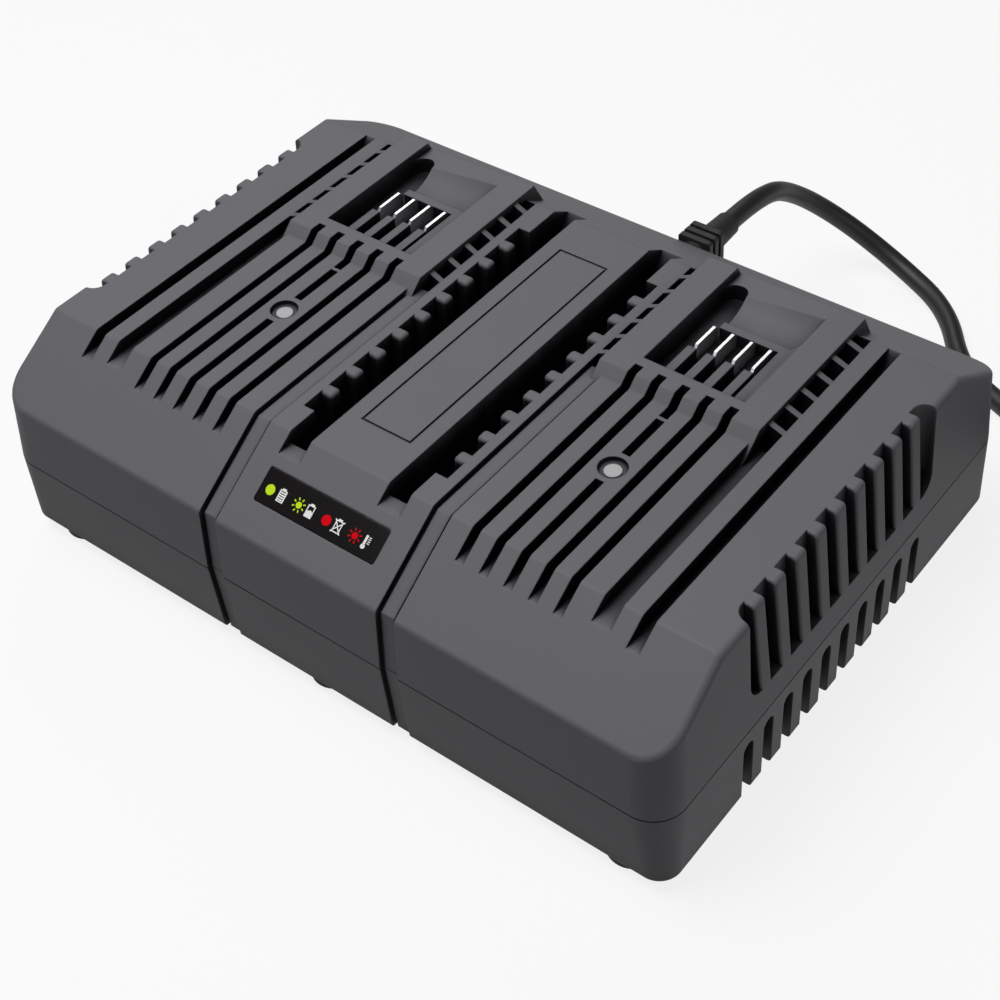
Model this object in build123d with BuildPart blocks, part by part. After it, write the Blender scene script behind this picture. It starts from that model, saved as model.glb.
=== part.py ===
# Battery charger with two bays for slide-on packs. Millimetres, +Z up.
# The origin is the centre of the footprint on the surface that the feet stand on.
# The display slope faces -Y, the mains lead leaves at +Y, and the bays are left (-X) and right (+X).
from build123d import *
import math
import os

os.makedirs("parts", exist_ok=True)

# ---------------------------------------------------------------- driving dimensions: shells
width = 250.0  # across the sides at the parting line
depth = 186.0  # front to rear at the parting line
corner_radius = 10.5
base_corner_radius = 7.0  # of the lower case at its underside
foot_height = 5.0
parting_height = 32.5
deck_height = 73.0  # the flat deck between the two slopes
side_draft = 2.2  # how far each side leans in from the parting line to the deck
wall_draft = 2.7  # the same at the front and rear walls, measured up to the deck's height
base_draft = 1.5  # how far the front and rear of the lower case lean in down to its underside; its sides are upright
front_slope_run = 29.0  # from the front face back to where the deck turns into the display slope
rear_slope_run = 31.0  # the same at the rear
shoulder_inset = 1.6  # how far the shoulders of both slopes stand in from the faces at the parting line
front_shoulder_drop = 18.3  # from the deck down to where the display slope meets the front wall
rear_shoulder_drop = 17.7
parting_groove = (0.4, 0.6)  # height and depth of the shadow line under the upper cover
edge_round = 2.0
base_round = 1.2
cover_wall = 2.5
case_end_wall = 2.5
case_side_wall = 8.0
case_floor = 3.0
deck_thickness = 9.0
slope_thickness = 3.0
tongue_height = 2.0
tongue_thickness = 1.1
tongue_gap = 0.4
tongue_root = 4.0  # how far the tongue's foot runs down inside the lower case
fit_gap = 0.1  # clearance round each moulding set into another

# ---------------------------------------------------------------- driving dimensions: deck
outer_groove_inner = 99.1
outer_groove_width = 4.1
outer_groove_depth = 5.5
rail_groove_inner = 87.2
rail_groove_width = 6.1
rail_groove_depth = 4.4
groove_runout = 4.0  # length of the slanted rear end of the long grooves
seam_groove_inner = 30.2
seam_groove_width = 6.5
seam_groove_depth = 1.2
seam_slot_width = 1.0  # of the narrow slot along each edge of the groove
seam_slot_depth = 1.9
bay_centre = 61.7
channel_count = 5
channel_pitch = 8.17
channel_width = 2.87
channel_depth = 6.0
channel_end = 12.0
lamp_y = -24.6
lamp_gap = 12.2  # how far the middle channel stops for the lamp
channel_bridge_y = -0.7
channel_bridge = 1.2
lamp_well_diameter = 8.8
lamp_well_depth = 1.5
lamp_cap_diameter = 5.3
lamp_cap_drop = 1.2
trench_inner = 14.5
trench_width = 8.1
trench_depth = 16.0
trench_front_overrun = 1.0  # how far the trenches reach past the edge of the display slope
trench_rear_inset = 2.0
trench_runout = 9.0
trench_shelf = 4.2
trough_wall = 2.0
rib_pocket_width = 4.2
rib_pocket_depth = 15.0
rib_pocket_front = -54.0
rib_pocket_rear = 48.6
rib_count = 9
rib_first = -44.5
rib_pitch = 10.5
rib_width = 4.5
rib_root = 0.6  # how far the ribs are sunk into the wall behind them
rib_round = 1.4
panel_half_width = 9.2
panel_front = -49.0
panel_rear = 47.0
panel_line = 0.7
panel_depth = 0.5

# ---------------------------------------------------------------- driving dimensions: contact towers
tower_rise = 3.0
tower_inner = 34.1
tower_outer = 88.5
tower_foot = 4.5
tower_front = 8.0
tower_rear_reach = 4.5  # how far the top reaches past the edge of the rear slope
tower_rear_foot_reach = 9.0
tower_bar_count = 6
tower_bar_first = 13.5
tower_bar_pitch = 8.57
tower_bar_width = 2.0
tower_gap_depth = 8.0  # depth of the holes between the bars
tower_bar_drop = 1.2  # from the tower's top down to the bars
pocket_width = 34.8
pocket_front = 15.5
pocket_rear = 46.0
side_channel_width = 8.4
side_channel_reach = 0.0  # how far the channel reaches past the edge of the rear slope
side_channel_depth = 5.2
dish_rear_inset = 2.0
dish_drop = 3.0  # how far the dish lies under the deck at the contact block
dish_lift = 0.3  # how far its left edge stands over the deck at the rear

# ---------------------------------------------------------------- driving dimensions: contacts
blade_count = 4
blade_pitch = 6.5
blade_thickness = 1.0
blade_front = 31.0
blade_rear = 43.0
blade_rise = 0.2  # how far the blades stand over the deck
blade_tail_drop = 20.0  # from the deck down to the end of the blades' tails
blade_tail_length = 4.0
contact_slot_width = 3.6
contact_slot_side = 0.6  # from each blade's middle to the near wall of the slot beside it
contact_slot_depth = 7.5
block_drop = 0.6  # how far the block's top lies under the deck
block_height = 12.4
block_well_depth = 4.6
block_edge_channel = 2.4
block_ledge_depth = 4.0  # how far the ledge beside the first bar lies under the block's top
block_flange = 6.0
block_flange_thickness = 4.0
block_flange_inset = 3.0  # how far the flange stops short of the block's front and rear
block_ramp_foot = 2.0  # height of the ramp's foot over the well
block_ramp_start = 1.8  # from the last blade's middle to the ramp's foot
blade_clearance = 0.05
blade_chamfer = 1.2
blade_shoulder = 1.0  # how far the blade's foot stands in from its ends
blade_sink = 1.0  # overlap of the blade's outline with its foot and tail
terminal_screw_diameter = 2.2
terminal_screw_bite = 4.5
terminal_screw_head = 1.6

# ---------------------------------------------------------------- driving dimensions: sides
side_pocket_inset = 7.5  # from the case's side at the parting line in to the pocket's back
side_pocket_front = -51.5
side_pocket_rear = 46.8
side_ledge = 10.0  # from the parting line up to the pocket's bottom
side_pocket_round = 6.0
side_pocket_end_round = 4.5
side_rib_count = 9
side_rib_first = -43.7
side_rib_pitch = 10.25
side_rib_width = 5.2
side_rib_draft = 4.0  # how far the ribs' tops stand in from the case's side at the parting line
side_rib_round = 0.9
side_rib_top_round = 1.6
side_rib_root = 1.0
vent_lift = 2.5  # from the pocket's bottom up to the vents
vent_drop = 12.0  # from the deck down to the vents
vent_length = 4.4
case_slot_count = 10
case_slot_first = -54.8
case_slot_pitch = 10.2
case_slot_width = 5.0
case_slot_depth = 5.0
case_slot_drop = 5.5  # from the parting line down to the top of the slots

# ---------------------------------------------------------------- driving dimensions: display
window_width = 45.0
window_height = 11.0
window_down = 16.9  # from the kink down the slope to the window's middle
window_round = 0.9
window_recess = 1.4
window_thickness = 1.3
window_ledge = 2.0
display_board_size = (54.0, 12.0, 1.6)
display_board_drop = 8.0
display_board_shift = 1.8
display_post_x = 23.5
display_post_diameter = 5.0
display_lamp_count = 4
display_lamp_pitch = 10.6
display_lamp_size = (3.0, 2.0, 1.0)

# ---------------------------------------------------------------- driving dimensions: feet and screws
foot_diameter = 16.0
foot_seat = 1.5
foot_stem_diameter = 4.8
foot_bulb_diameter = 6.4
foot_bulb_height = 3.0
foot_tip_diameter = 2.8
foot_chamfer = 1.2
foot_clearance = 0.1
foot_inset = (17.0, 11.0)  # from the case's sides and from its front and rear faces
post_inset = (37.0, 15.0)  # the same for the four corner posts
side_post_inset = 19.0
post_diameter = 9.0
boss_diameter = 8.0
screw_diameter = 3.0
screw_clearance = 0.2
screw_head_diameter = 5.6
screw_head_height = 2.4
screw_seat = 18.0  # height of the shoulder the screw heads pull against
screw_bite = 14.0
floor_vent_count = 9
floor_vent_pitch = 9.0
floor_vent_size = (3.0, 46.0)
floor_vent_x = 52.0

# ---------------------------------------------------------------- driving dimensions: electronics
board_side_gap = 30.0  # from the case's sides to the board
board_end_gap = 33.0  # from the case's front and rear faces to the board, before its shift
board_thickness = 1.6
board_height = 16.0
board_y = -2.0  # how far the board sits off the middle
board_post_diameter = 7.0
board_round = 3.0
board_post_inset = (7.0, 6.0)  # from the board's edges
board_screw_length = 8.0
core_size = (42.0, 34.0)  # length, and depth over the bobbin
core_headroom = 2.9  # between the core and the troughs of the upper cover
core_window_length = 30.0
core_yoke = 5.5
core_leg = 12.0
bobbin_flange = 1.5
bobbin_wall = 1.0
core_gap = 0.15
flange_inset = 4.0  # how much shorter the bobbin's flange is than the core is deep
winding_inset = 3.0
winding_round = 5.0
transformer_place = (0.0, -2.0)
bulk_diameter = 20.0
bulk_headroom = 6.4
can_chamfer = 0.8
can_cross = (0.8, 0.5)  # width and depth of the pressure cross on each can
bulk_x = -34.0
bulk_insets = (16.0, 39.0)  # from the board's rear edge
output_cap_diameter = 12.5
output_cap_height = 22.0
output_cap_columns = (-45.0, -29.0, 29.0, 45.0)
output_cap_inset = 18.0  # from the board's front edge
sink_inset = 17.0  # from the board's sides
sink_plate = 3.0
sink_end_gap = 25.0
sink_height = 34.0
sink_shift = -10.0  # how far forward of the board's middle the heat sinks stand
fin_count = 8
fin_thickness = 1.4
fin_reach = 9.0
transistor_size = (4.6, 10.2, 15.4)
transistor_spacing = 36.0
transistor_lift = 8.0
transistor_lead = (0.6, 0.9, 2.54)  # two sides and spacing
choke_radius = 11.0
choke_hole = 5.5
choke_height = 8.0
choke_wire = 1.8
choke_turns = 14
choke_x = 26.0
choke_inset = 16.0  # from the board's rear edge, as for the parts below
film_cap_size = (12.0, 26.0, 20.0)
film_cap_round = 0.8
film_cap_x = 38.0
film_cap_inset = 42.0
bridge_size = (22.0, 4.0, 17.0)
bridge_chamfer = 2.0
bridge_inset = 26.0
fuse_diameter = 5.0
fuse_length = 20.0
fuse_x = 60.0
fuse_inset = 6.0
fuse_lift = 6.0
clip_width = 3.0
clip_wall = 0.6
bay_lamp_size = (3.0, 3.0, 2.0)
lamp_stem_diameter = 3.2
lead_diameter = 2.0
lead_shift = -7.0
lead_drops = (9.0, 19.0)  # how far under the blades each lead starts and ends its sideways run
lead_bend = 5.0
wire_bend = 4.5
wire_spread = (1.8, 5.0)  # half the space between the two mains wires in the cord and at the board
wire_straight = 9.0
wire_reach = 14.5
wire_fall = 16.0

# ---------------------------------------------------------------- driving dimensions: cord
cord_diameter = 7.0
cord_x = 11.0
cord_drop = 23.0  # from the deck down to the cord's axis at the boot
boot_neck_diameter = 10.0
boot_rib_width = 12.4
boot_rib_height = 13.0
boot_rib_thickness = 2.0
boot_rib_pitch = 3.4
boot_rib_count = 3
boot_core_diameter = 9.6
boot_reach = 21.0
boot_tip_diameter = 8.6
boot_rib_round = 1.2
cord_bore_gap = 0.05
clamp_inset = 18.0  # from the rear face
clamp_width = 7.0
clamp_spread = 9.0
clamp_post_diameter = 6.5
clamp_thickness = 3.0
clamp_screw_bite = 10.0
clamp_screw_head = 1.4
inner_cord_inset = 24.0
coil_centre = (160.0, 162.0)
coil_radius = 40.0
coil_columns = 3
coil_layers = 2
coil_edge = 2.5
coil_margin = 0.3  # how far the coil's outer shape stands outside its turns
cord_rest = 3.7  # height of the cord's axis where it lies on the surface
coil_entry_turn = 247.0  # where on the coil's outer turn the cord arrives, in degrees round the coil
coil_exit_turn = 330.0
entry_stub = 31.0  # straight stretch of cord at each end of the coil
exit_stub = 31.0
cord_last_run = 25.0  # the straight run of the tube that meets the coil
plug_length = 40.0
plug_width = 26.0
plug_thickness = 21.0
plug_taper = 14.0
plug_step = 5.0  # how much narrower the taper's wide end is than the grip
plug_round = 6.0
plug_end_round = 1.5
plug_collar = 1.0
pin_size = (17.0, 1.5, 6.3)
pin_spacing = 12.7

# ---------------------------------------------------------------- worked out from the sizes above
front_kink = front_slope_run - depth / 2
rear_kink = depth / 2 - rear_slope_run
front_shoulder = (shoulder_inset - depth / 2, deck_height - front_shoulder_drop)
rear_shoulder = (depth / 2 - shoulder_inset, deck_height - rear_shoulder_drop)
case_bottom = foot_height
deck_underside = deck_height - deck_thickness
tower_top = deck_height + tower_rise
floor_top = case_bottom + case_floor
board_top = board_height + board_thickness
cover_rise = deck_height - parting_height
front_run = front_kink - front_shoulder[0]
front_fall = deck_height - front_shoulder[1]
rear_run = rear_shoulder[0] - rear_kink
rear_fall = deck_height - rear_shoulder[1]
front_angle = math.atan2(front_fall, front_run)
rear_angle = math.atan2(rear_fall, rear_run)
bays = {"left": -bay_centre, "right": bay_centre}
seam_cuts = [
    (seam_groove_inner, seam_groove_width, seam_groove_depth),
    (seam_groove_inner, seam_slot_width, seam_slot_depth),
    (seam_groove_inner + seam_groove_width - seam_slot_width, seam_slot_width, seam_slot_depth),
]
sides = (-1, 1)
rear_face = depth / 2
far = 2 * width  # longer than anything that is cut or kept
trench_front = front_kink - trench_front_overrun
trench_rear = rear_kink - trench_rear_inset
tower_rear = rear_kink + tower_rear_reach
tower_rear_foot = rear_kink + tower_rear_foot_reach
side_channel_rear = rear_kink + side_channel_reach
side_channel_floor = deck_height - side_channel_depth
dish_rear = rear_kink - dish_rear_inset
dish_front_height = deck_height - dish_drop
side_pocket_plane = width / 2 - side_pocket_inset
side_pocket_bottom = parting_height + side_ledge
vent_bottom = side_pocket_bottom + vent_lift
vent_top = deck_height - vent_drop
case_slot_top = parting_height - case_slot_drop

blade_top = deck_height + blade_rise
blade_tail_bottom = deck_height - blade_tail_drop
block_top = deck_height - block_drop
block_bottom = block_top - block_height
block_well_floor = block_top - block_well_depth
contact_slot_floor = block_top - contact_slot_depth

foot_row = depth / 2 - foot_inset[1]
foot_columns = (foot_inset[0] - width / 2, 0.0, width / 2 - foot_inset[0])
screw_posts = [(x * (width / 2 - post_inset[0]), y * (depth / 2 - post_inset[1])) for x in sides for y in sides]
screw_posts += [(x * (width / 2 - side_post_inset), 0.0) for x in sides]

board_length = width - 2 * board_side_gap
board_width = depth - 2 * board_end_gap
board_rear = board_y + board_width / 2
board_front = board_y - board_width / 2
board_post_x = board_length / 2 - board_post_inset[0]
board_post_places = [(x, y) for x in (-board_post_x, 0.0, board_post_x)
                     for y in (board_front + board_post_inset[1], board_rear - board_post_inset[1])]
bulk_places = [(bulk_x, board_rear - inset) for inset in bulk_insets]
output_cap_places = [(x, board_front + output_cap_inset) for x in output_cap_columns]
sink_x = board_length / 2 - sink_inset
sink_length = board_width - 2 * sink_end_gap
sink_y = board_y + sink_shift
transistor_places = [sink_y - transistor_spacing / 2, sink_y + transistor_spacing / 2]
choke_place = (choke_x, board_rear - choke_inset)
film_cap_place = (film_cap_x, board_rear - film_cap_inset)
bridge_place = (0.0, board_rear - bridge_inset)
fuse_place = (fuse_x, board_rear - fuse_inset)

cord_height = deck_height - cord_drop
boot_end = rear_face + boot_reach
clamp_y = rear_face - clamp_inset
inner_cord_end = rear_face - inner_cord_inset


def front_slope_height(y, drop=0.0):
    """Height of the display slope at y, or of a plane a given drop below its face."""
    return deck_height - (front_kink - y) * math.tan(front_angle) - drop / math.cos(front_angle)


def rear_slope_height(y, drop=0.0):
    """Height of the rear slope at y, or of a plane a given drop below its face."""
    return deck_height - (y - rear_kink) * math.tan(rear_angle) - drop / math.cos(rear_angle)


def roofline(top, drop):
    """Side view of everything below the deck and its slopes, for cutting a block to that shape."""
    front = front_kink - (front_slope_height(front_kink, drop) - top) / math.tan(front_angle)
    rear = rear_kink + (rear_slope_height(rear_kink, drop) - top) / math.tan(rear_angle)
    reach = depth / 2 + corner_radius
    return [
        (-reach, 0),
        (-reach, front_slope_height(-reach, drop)),
        (front, top),
        (rear, top),
        (reach, rear_slope_height(reach, drop)),
        (reach, 0),
    ]


def span(low, high):
    """Middle and length of a stretch given by its two ends."""
    return (low + high) / 2, abs(high - low)


def mirrored(inner, size):
    """Middles of the two stretches that start at inner on either side of the centre plane."""
    return [side * (inner + size / 2) for side in sides]


def finish(builder, name):
    """Names a finished piece and writes it to its file."""
    builder.part.label = name
    export_step(builder.part, f"parts/{name}.step")


def seam_outline(drop):
    """Side view of everything outside the front wall, the display slope and the deck, from a given drop below them."""
    return [
        (drop - depth / 2, parting_height - 1),
        (front_shoulder[0] + drop, front_slope_height(front_shoulder[0], drop) + drop * math.tan(front_angle)),
        (front_kink + drop * math.tan(front_angle / 2), deck_height - drop),
        (rear_kink, deck_height - drop),
        (rear_kink, far), (-far, far), (-far, parting_height - 1),
    ]


def case_seam_outline(drop):
    """The same in front of the lower case."""
    return [
        (drop - depth / 2, parting_height + tongue_height + 1),
        (drop - depth / 2, parting_height),
        (drop - depth / 2 + base_draft, case_bottom),
        (drop - depth / 2 + base_draft, 0),
        (-far, 0), (-far, parting_height + tongue_height + 1),
    ]


def side_face(height):
    """Distance of the upper cover's side from the centre plane at a height."""
    return width / 2 - side_draft * (height - parting_height) / cover_rise


slope_origin = Plane(
    origin=(
        0,
        front_kink - window_down * math.cos(front_angle),
        deck_height - window_down * math.sin(front_angle),
    ),
    x_dir=(1, 0, 0),
    z_dir=(0, -math.sin(front_angle), math.cos(front_angle)),
)
display_shift = -display_board_shift
lamp_hole_diameter = lamp_stem_diameter + 4 * fit_gap
trench_floor = deck_height - trench_depth
trough_bottom = trench_floor - trough_wall
trough_inner = trench_inner - trough_wall
trough_outer = trench_inner + trench_width + rib_pocket_width + trough_wall
boot_hole_diameter = boot_neck_diameter + 2 * fit_gap
core_height = trough_bottom - core_headroom - board_top - bobbin_flange
bulk_height = trough_bottom - bulk_headroom - board_top
window_x, window_z = core_window_length, core_height - 2 * core_yoke

# ---------------------------------------------------------------- hollow of the upper cover
with BuildPart() as hollow:
    with BuildSketch(Plane.XY.offset(parting_height)):
        RectangleRounded(width - 2 * cover_wall, depth - 2 * cover_wall, corner_radius - cover_wall)
    with BuildSketch(Plane.XY.offset(deck_height)):
        RectangleRounded(
            width - 2 * (cover_wall + side_draft),
            depth - 2 * (cover_wall + wall_draft),
            corner_radius - cover_wall,
        )
    loft()
    with BuildSketch(Plane.YZ):
        Polygon(*roofline(deck_underside, slope_thickness), align=None)
    extrude(amount=far, both=True, mode=Mode.INTERSECT)
    # troughs round the two trenches, thick walls behind the side ribs and the seams, and screw bosses stay solid
    y_mid, y_size = span(trench_front - trough_wall, trench_rear + trench_runout + trough_wall)
    x_size = trough_outer - trough_inner
    with BuildSketch(Plane.XY.offset(trough_bottom)):
        with Locations(*[(x, y_mid) for x in mirrored(trough_inner, x_size)]):
            Rectangle(x_size, y_size)
    extrude(amount=far, mode=Mode.SUBTRACT)
    y_mid, y_size = span(side_pocket_front - cover_wall, side_pocket_rear + cover_wall)
    with BuildSketch(Plane.XY.offset(side_pocket_bottom - cover_wall)):
        with Locations(*[(x, y_mid) for x in mirrored(side_pocket_plane - cover_wall, far)]):
            Rectangle(far, y_size)
    extrude(amount=far, mode=Mode.SUBTRACT)
    seam_backing = seam_groove_width + 2 * cover_wall
    with BuildSketch(Plane.XY.offset(parting_height + tongue_height + tongue_gap)):
        with Locations(*[(x, -depth / 2) for x in mirrored(seam_groove_inner - cover_wall, seam_backing)]):
            Rectangle(seam_backing, 4 * cover_wall)
    extrude(amount=far, mode=Mode.SUBTRACT)
    with BuildSketch(Plane.XY.offset(parting_height)):
        with Locations(*screw_posts):
            Circle(boss_diameter / 2)
    extrude(amount=far, mode=Mode.SUBTRACT)
    with BuildSketch(slope_origin.offset(-display_board_drop)):
        with Locations(*[(side * display_post_x, display_shift) for side in sides]):
            Circle(display_post_diameter / 2)
    extrude(amount=display_board_drop, mode=Mode.SUBTRACT)

# ---------------------------------------------------------------- ribs of the upper cover and its side pockets
with BuildPart() as trench_rib:
    rib_length = rib_pocket_width + rib_root
    with Locations((rib_length / 2, 0, -rib_pocket_depth / 2)):
        Box(rib_length, rib_width, rib_pocket_depth)
    rib_top = trench_rib.faces().sort_by(Axis.Z)[-1].edges()
    rib_end = trench_rib.faces().sort_by(Axis.X)[0].edges()
    fillet(rib_top.sort_by(Axis.X)[:-1] + rib_end.filter_by(Axis.Z), rib_round)

with BuildPart() as side_rib:
    with BuildSketch(Plane.XZ) as rib_profile:
        Polygon(
            (side_pocket_plane - side_rib_root, side_pocket_bottom),
            (side_face(side_pocket_bottom), side_pocket_bottom), (width / 2 - side_rib_draft, deck_height),
            (side_pocket_plane - side_rib_root, deck_height), align=None,
        )
        fillet(rib_profile.vertices().group_by(Axis.Y)[-1].sort_by(Axis.X)[-1], side_rib_top_round)
    extrude(amount=side_rib_width / 2, both=True)
    rib_edges = side_rib.edges().filter_by_position(Axis.X, side_pocket_plane, far)
    fillet([edge for edge in rib_edges if abs((edge @ 1 - edge @ 0).Y) < 0.1
            and edge.center().Z > side_pocket_bottom + 1], side_rib_round)

side_pocket_mid, side_pocket_length = span(side_pocket_front, side_pocket_rear)
with BuildPart() as side_pocket_room:
    with BuildSketch(Plane.YZ.offset(side_pocket_plane)) as side_pocket:
        with Locations((side_pocket_mid, side_pocket_bottom + cover_rise)):
            Rectangle(side_pocket_length, 2 * cover_rise)
        fillet(side_pocket.vertices().group_by(Axis.Y)[0], side_pocket_round)
    extrude(amount=far)
    with BuildSketch(Plane.XY.offset(side_pocket_bottom)) as side_pocket_plan:
        with Locations((side_pocket_plane + far / 2, side_pocket_mid)):
            Rectangle(far, side_pocket_length)
        fillet(side_pocket_plan.vertices().group_by(Axis.X)[0], side_pocket_end_round)
    extrude(amount=2 * cover_rise, mode=Mode.INTERSECT)

# ---------------------------------------------------------------- upper cover
with BuildPart() as top_cover:
    with BuildSketch(Plane.XY.offset(parting_height)):
        RectangleRounded(width, depth, corner_radius)
    with BuildSketch(Plane.XY.offset(deck_height)):
        RectangleRounded(width - 2 * side_draft, depth - 2 * wall_draft, corner_radius)
    loft()
    with BuildSketch(Plane.YZ):
        Polygon(*roofline(deck_height, 0.0), align=None)
    extrude(amount=far, both=True, mode=Mode.INTERSECT)
    top_edges = top_cover.edges().filter_by_position(Axis.Z, parting_height + 1, deck_height + 1)
    upright = [edge for edge in top_edges if abs((edge @ 1 - edge @ 0).Z) > 0.8 * edge.length]
    fillet([edge for edge in top_edges if edge not in upright], edge_round)
    add(hollow.part, mode=Mode.SUBTRACT)

    # long grooves outside each bay, with a slanted end at the rear
    for inner, size, drop in (
        (outer_groove_inner, outer_groove_width, outer_groove_depth),
        (rail_groove_inner, rail_groove_width, rail_groove_depth),
    ):
        floor = deck_height - drop
        for side in sides:
            with BuildSketch(Plane.YZ.offset(side * (inner + size / 2))):
                Polygon(
                    (-far, floor), (rear_kink - groove_runout, floor), (rear_kink, deck_height),
                    (rear_kink, far), (-far, far), align=None,
                )
            extrude(amount=size / 2, both=True, mode=Mode.SUBTRACT)

    # seam grooves: over the deck, down the slope and down the front wall, with a narrow slot along both edges
    for inner, size, drop in seam_cuts:
        for x in mirrored(inner, size):
            with BuildSketch(Plane.YZ.offset(x)):
                Polygon(*seam_outline(drop), align=None)
            extrude(amount=size / 2, both=True, mode=Mode.SUBTRACT)
    # deep holes on both sides of each tower
    y_mid, y_size = span(tower_front, rear_kink)
    for inner, size in ((seam_groove_inner, seam_groove_width), (rail_groove_inner, rail_groove_width)):
        with BuildSketch(Plane.XY.offset(deck_height - tower_gap_depth)):
            with Locations(*[(x, y_mid) for x in mirrored(inner, size)]):
                Rectangle(size, y_size)
        extrude(amount=far, mode=Mode.SUBTRACT)

    # contact towers: a slab over each bay's rear half, with bars that tie it to the strips beside it
    tower_tail = rear_slope_height(tower_rear_foot)
    ramp_floor = deck_height - rail_groove_depth
    ramp_start = tower_front - (tower_top - ramp_floor) * (tower_front - tower_foot) / tower_rise
    for side in sides:
        with BuildSketch(Plane.YZ.offset(side * (tower_inner + tower_outer) / 2)):
            Polygon(
                (ramp_start, ramp_floor), (tower_front, tower_top), (tower_rear, tower_top),
                (tower_rear_foot, tower_tail), (rear_kink, deck_height), (tower_front, deck_height),
                (tower_front, ramp_floor), align=None,
            )
        extrude(amount=(tower_outer - tower_inner) / 2, both=True)
    for index in range(tower_bar_count):
        with BuildSketch(Plane.XZ.offset(-tower_bar_first - index * tower_bar_pitch)):
            for side in sides:
                for tower_edge, strip_edge in (
                    (tower_outer, rail_groove_inner + rail_groove_width), (tower_inner, seam_groove_inner),
                ):
                    Polygon(
                        (side * strip_edge, deck_height - tower_gap_depth), (side * strip_edge, deck_height),
                        (side * tower_edge, tower_top - tower_bar_drop),
                        (side * tower_edge, deck_height - tower_gap_depth), align=None,
                    )
        extrude(amount=tower_bar_width / 2, both=True)

    # cooling channels through both bays
    channel_floor = deck_height - channel_depth
    for index in range(channel_count):
        offset = (index - (channel_count - 1) / 2) * channel_pitch
        stretches = [(-far, channel_end)]
        if offset == 0:
            stretches = [
                (-far, lamp_y - lamp_gap / 2),
                (lamp_y + lamp_gap / 2, channel_bridge_y - channel_bridge / 2),
                (channel_bridge_y + channel_bridge / 2, channel_end),
            ]
        with BuildSketch(Plane.XY.offset(channel_floor)):
            for start, end in stretches:
                y_mid, y_size = span(start, end)
                with Locations(*[(x + offset, y_mid) for x in bays.values()]):
                    Rectangle(channel_width, y_size)
        extrude(amount=far, mode=Mode.SUBTRACT)

    # lamp wells, and the holes for the stems of the lamp caps
    for x in bays.values():
        with BuildSketch(Plane.XY.offset(deck_height - lamp_well_depth)):
            with Locations((x, lamp_y)):
                Circle(lamp_well_diameter / 2)
        extrude(amount=far, mode=Mode.SUBTRACT)
        with BuildSketch(Plane.XY.offset(deck_underside)):
            with Locations((x, lamp_y)):
                Circle(lamp_hole_diameter / 2)
        extrude(amount=deck_thickness, mode=Mode.SUBTRACT)

    # the two deep trenches beside the centre bar, their front shelves and the pockets between their ribs
    shelf_floor = deck_height - trench_shelf
    for x in mirrored(trench_inner, trench_width):
        with BuildSketch(Plane.YZ.offset(x)):
            Polygon(
                (-far, shelf_floor), (trench_front, shelf_floor), (trench_front, trench_floor),
                (trench_rear, trench_floor), (trench_rear + trench_runout, rear_slope_height(
                    trench_rear + trench_runout)),
                (trench_rear + trench_runout, far), (-far, far), align=None,
            )
        extrude(amount=trench_width / 2, both=True, mode=Mode.SUBTRACT)
    with BuildSketch(Plane.XY.offset(deck_height - rib_pocket_depth)):
        y_mid, y_size = span(rib_pocket_front, rib_pocket_rear)
        with Locations(*[(x, y_mid) for x in mirrored(trench_inner + trench_width / 2,
                                                      trench_width / 2 + rib_pocket_width)]):
            Rectangle(trench_width / 2 + rib_pocket_width, y_size)
    extrude(amount=far, mode=Mode.SUBTRACT)
    with Locations(*[Location((side * (trench_inner + trench_width), rib_first + index * rib_pitch, deck_height),
                              (0, 0, 90 - side * 90)) for side in sides for index in range(rib_count)]):
        add(trench_rib.part)

    # engraved line round the bare panel on the centre bar
    y_mid, y_size = span(panel_front, panel_rear)
    with BuildSketch(Plane.XY.offset(deck_height - panel_depth)):
        with Locations((0, y_mid)):
            Rectangle(2 * panel_half_width, y_size)
            Rectangle(2 * (panel_half_width - panel_line), y_size - 2 * panel_line, mode=Mode.SUBTRACT)
    extrude(amount=far, mode=Mode.SUBTRACT)

    # openings for the contact blocks, the long side channel and the dish that leads up to the tower
    for x in bays.values():
        y_mid, y_size = span(pocket_front, pocket_rear)
        with BuildSketch(Plane.XY.offset(deck_underside)):
            with Locations((x, y_mid)):
                Rectangle(pocket_width, y_size)
        extrude(amount=far, mode=Mode.SUBTRACT)
        y_mid, y_size = span(pocket_rear - 1, side_channel_rear)
        with BuildSketch(Plane.XY.offset(side_channel_floor)) as side_channel:
            with Locations((x - (pocket_width - side_channel_width) / 2, y_mid)):
                Rectangle(side_channel_width, y_size)
            fillet(side_channel.vertices().group_by(Axis.Y)[-1], side_channel_width / 2.1)
        extrude(amount=far, mode=Mode.SUBTRACT)
        dish_run = dish_rear - pocket_rear
        dish_left = x - pocket_width / 2 + side_channel_width
        with BuildSketch(Plane.YZ.offset(dish_left - 1)):
            with BuildLine():
                arc_middle = (pocket_rear + 0.6 * dish_run, dish_front_height + 0.25 * (
                    tower_top - dish_front_height))
                ThreePointArc((pocket_rear, dish_front_height), arc_middle, (dish_rear, tower_top))
                Polyline((dish_rear, tower_top), (dish_rear, far), (pocket_rear - 1, far),
                         (pocket_rear - 1, dish_front_height), (pocket_rear, dish_front_height))
            make_face()
        extrude(amount=pocket_width - side_channel_width + 1, mode=Mode.SUBTRACT)
        # behind the dish the recess runs out over the rear slope, and its floor merges into the bar on its right
        with BuildSketch(Plane.XZ.offset(-pocket_rear)):
            Polygon(
                (x - pocket_width / 2, deck_height + dish_lift), (x + pocket_width / 2, tower_top),
                (x + pocket_width / 2, far), (x - pocket_width / 2, far), align=None,
            )
        extrude(amount=-far, mode=Mode.SUBTRACT)

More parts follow.
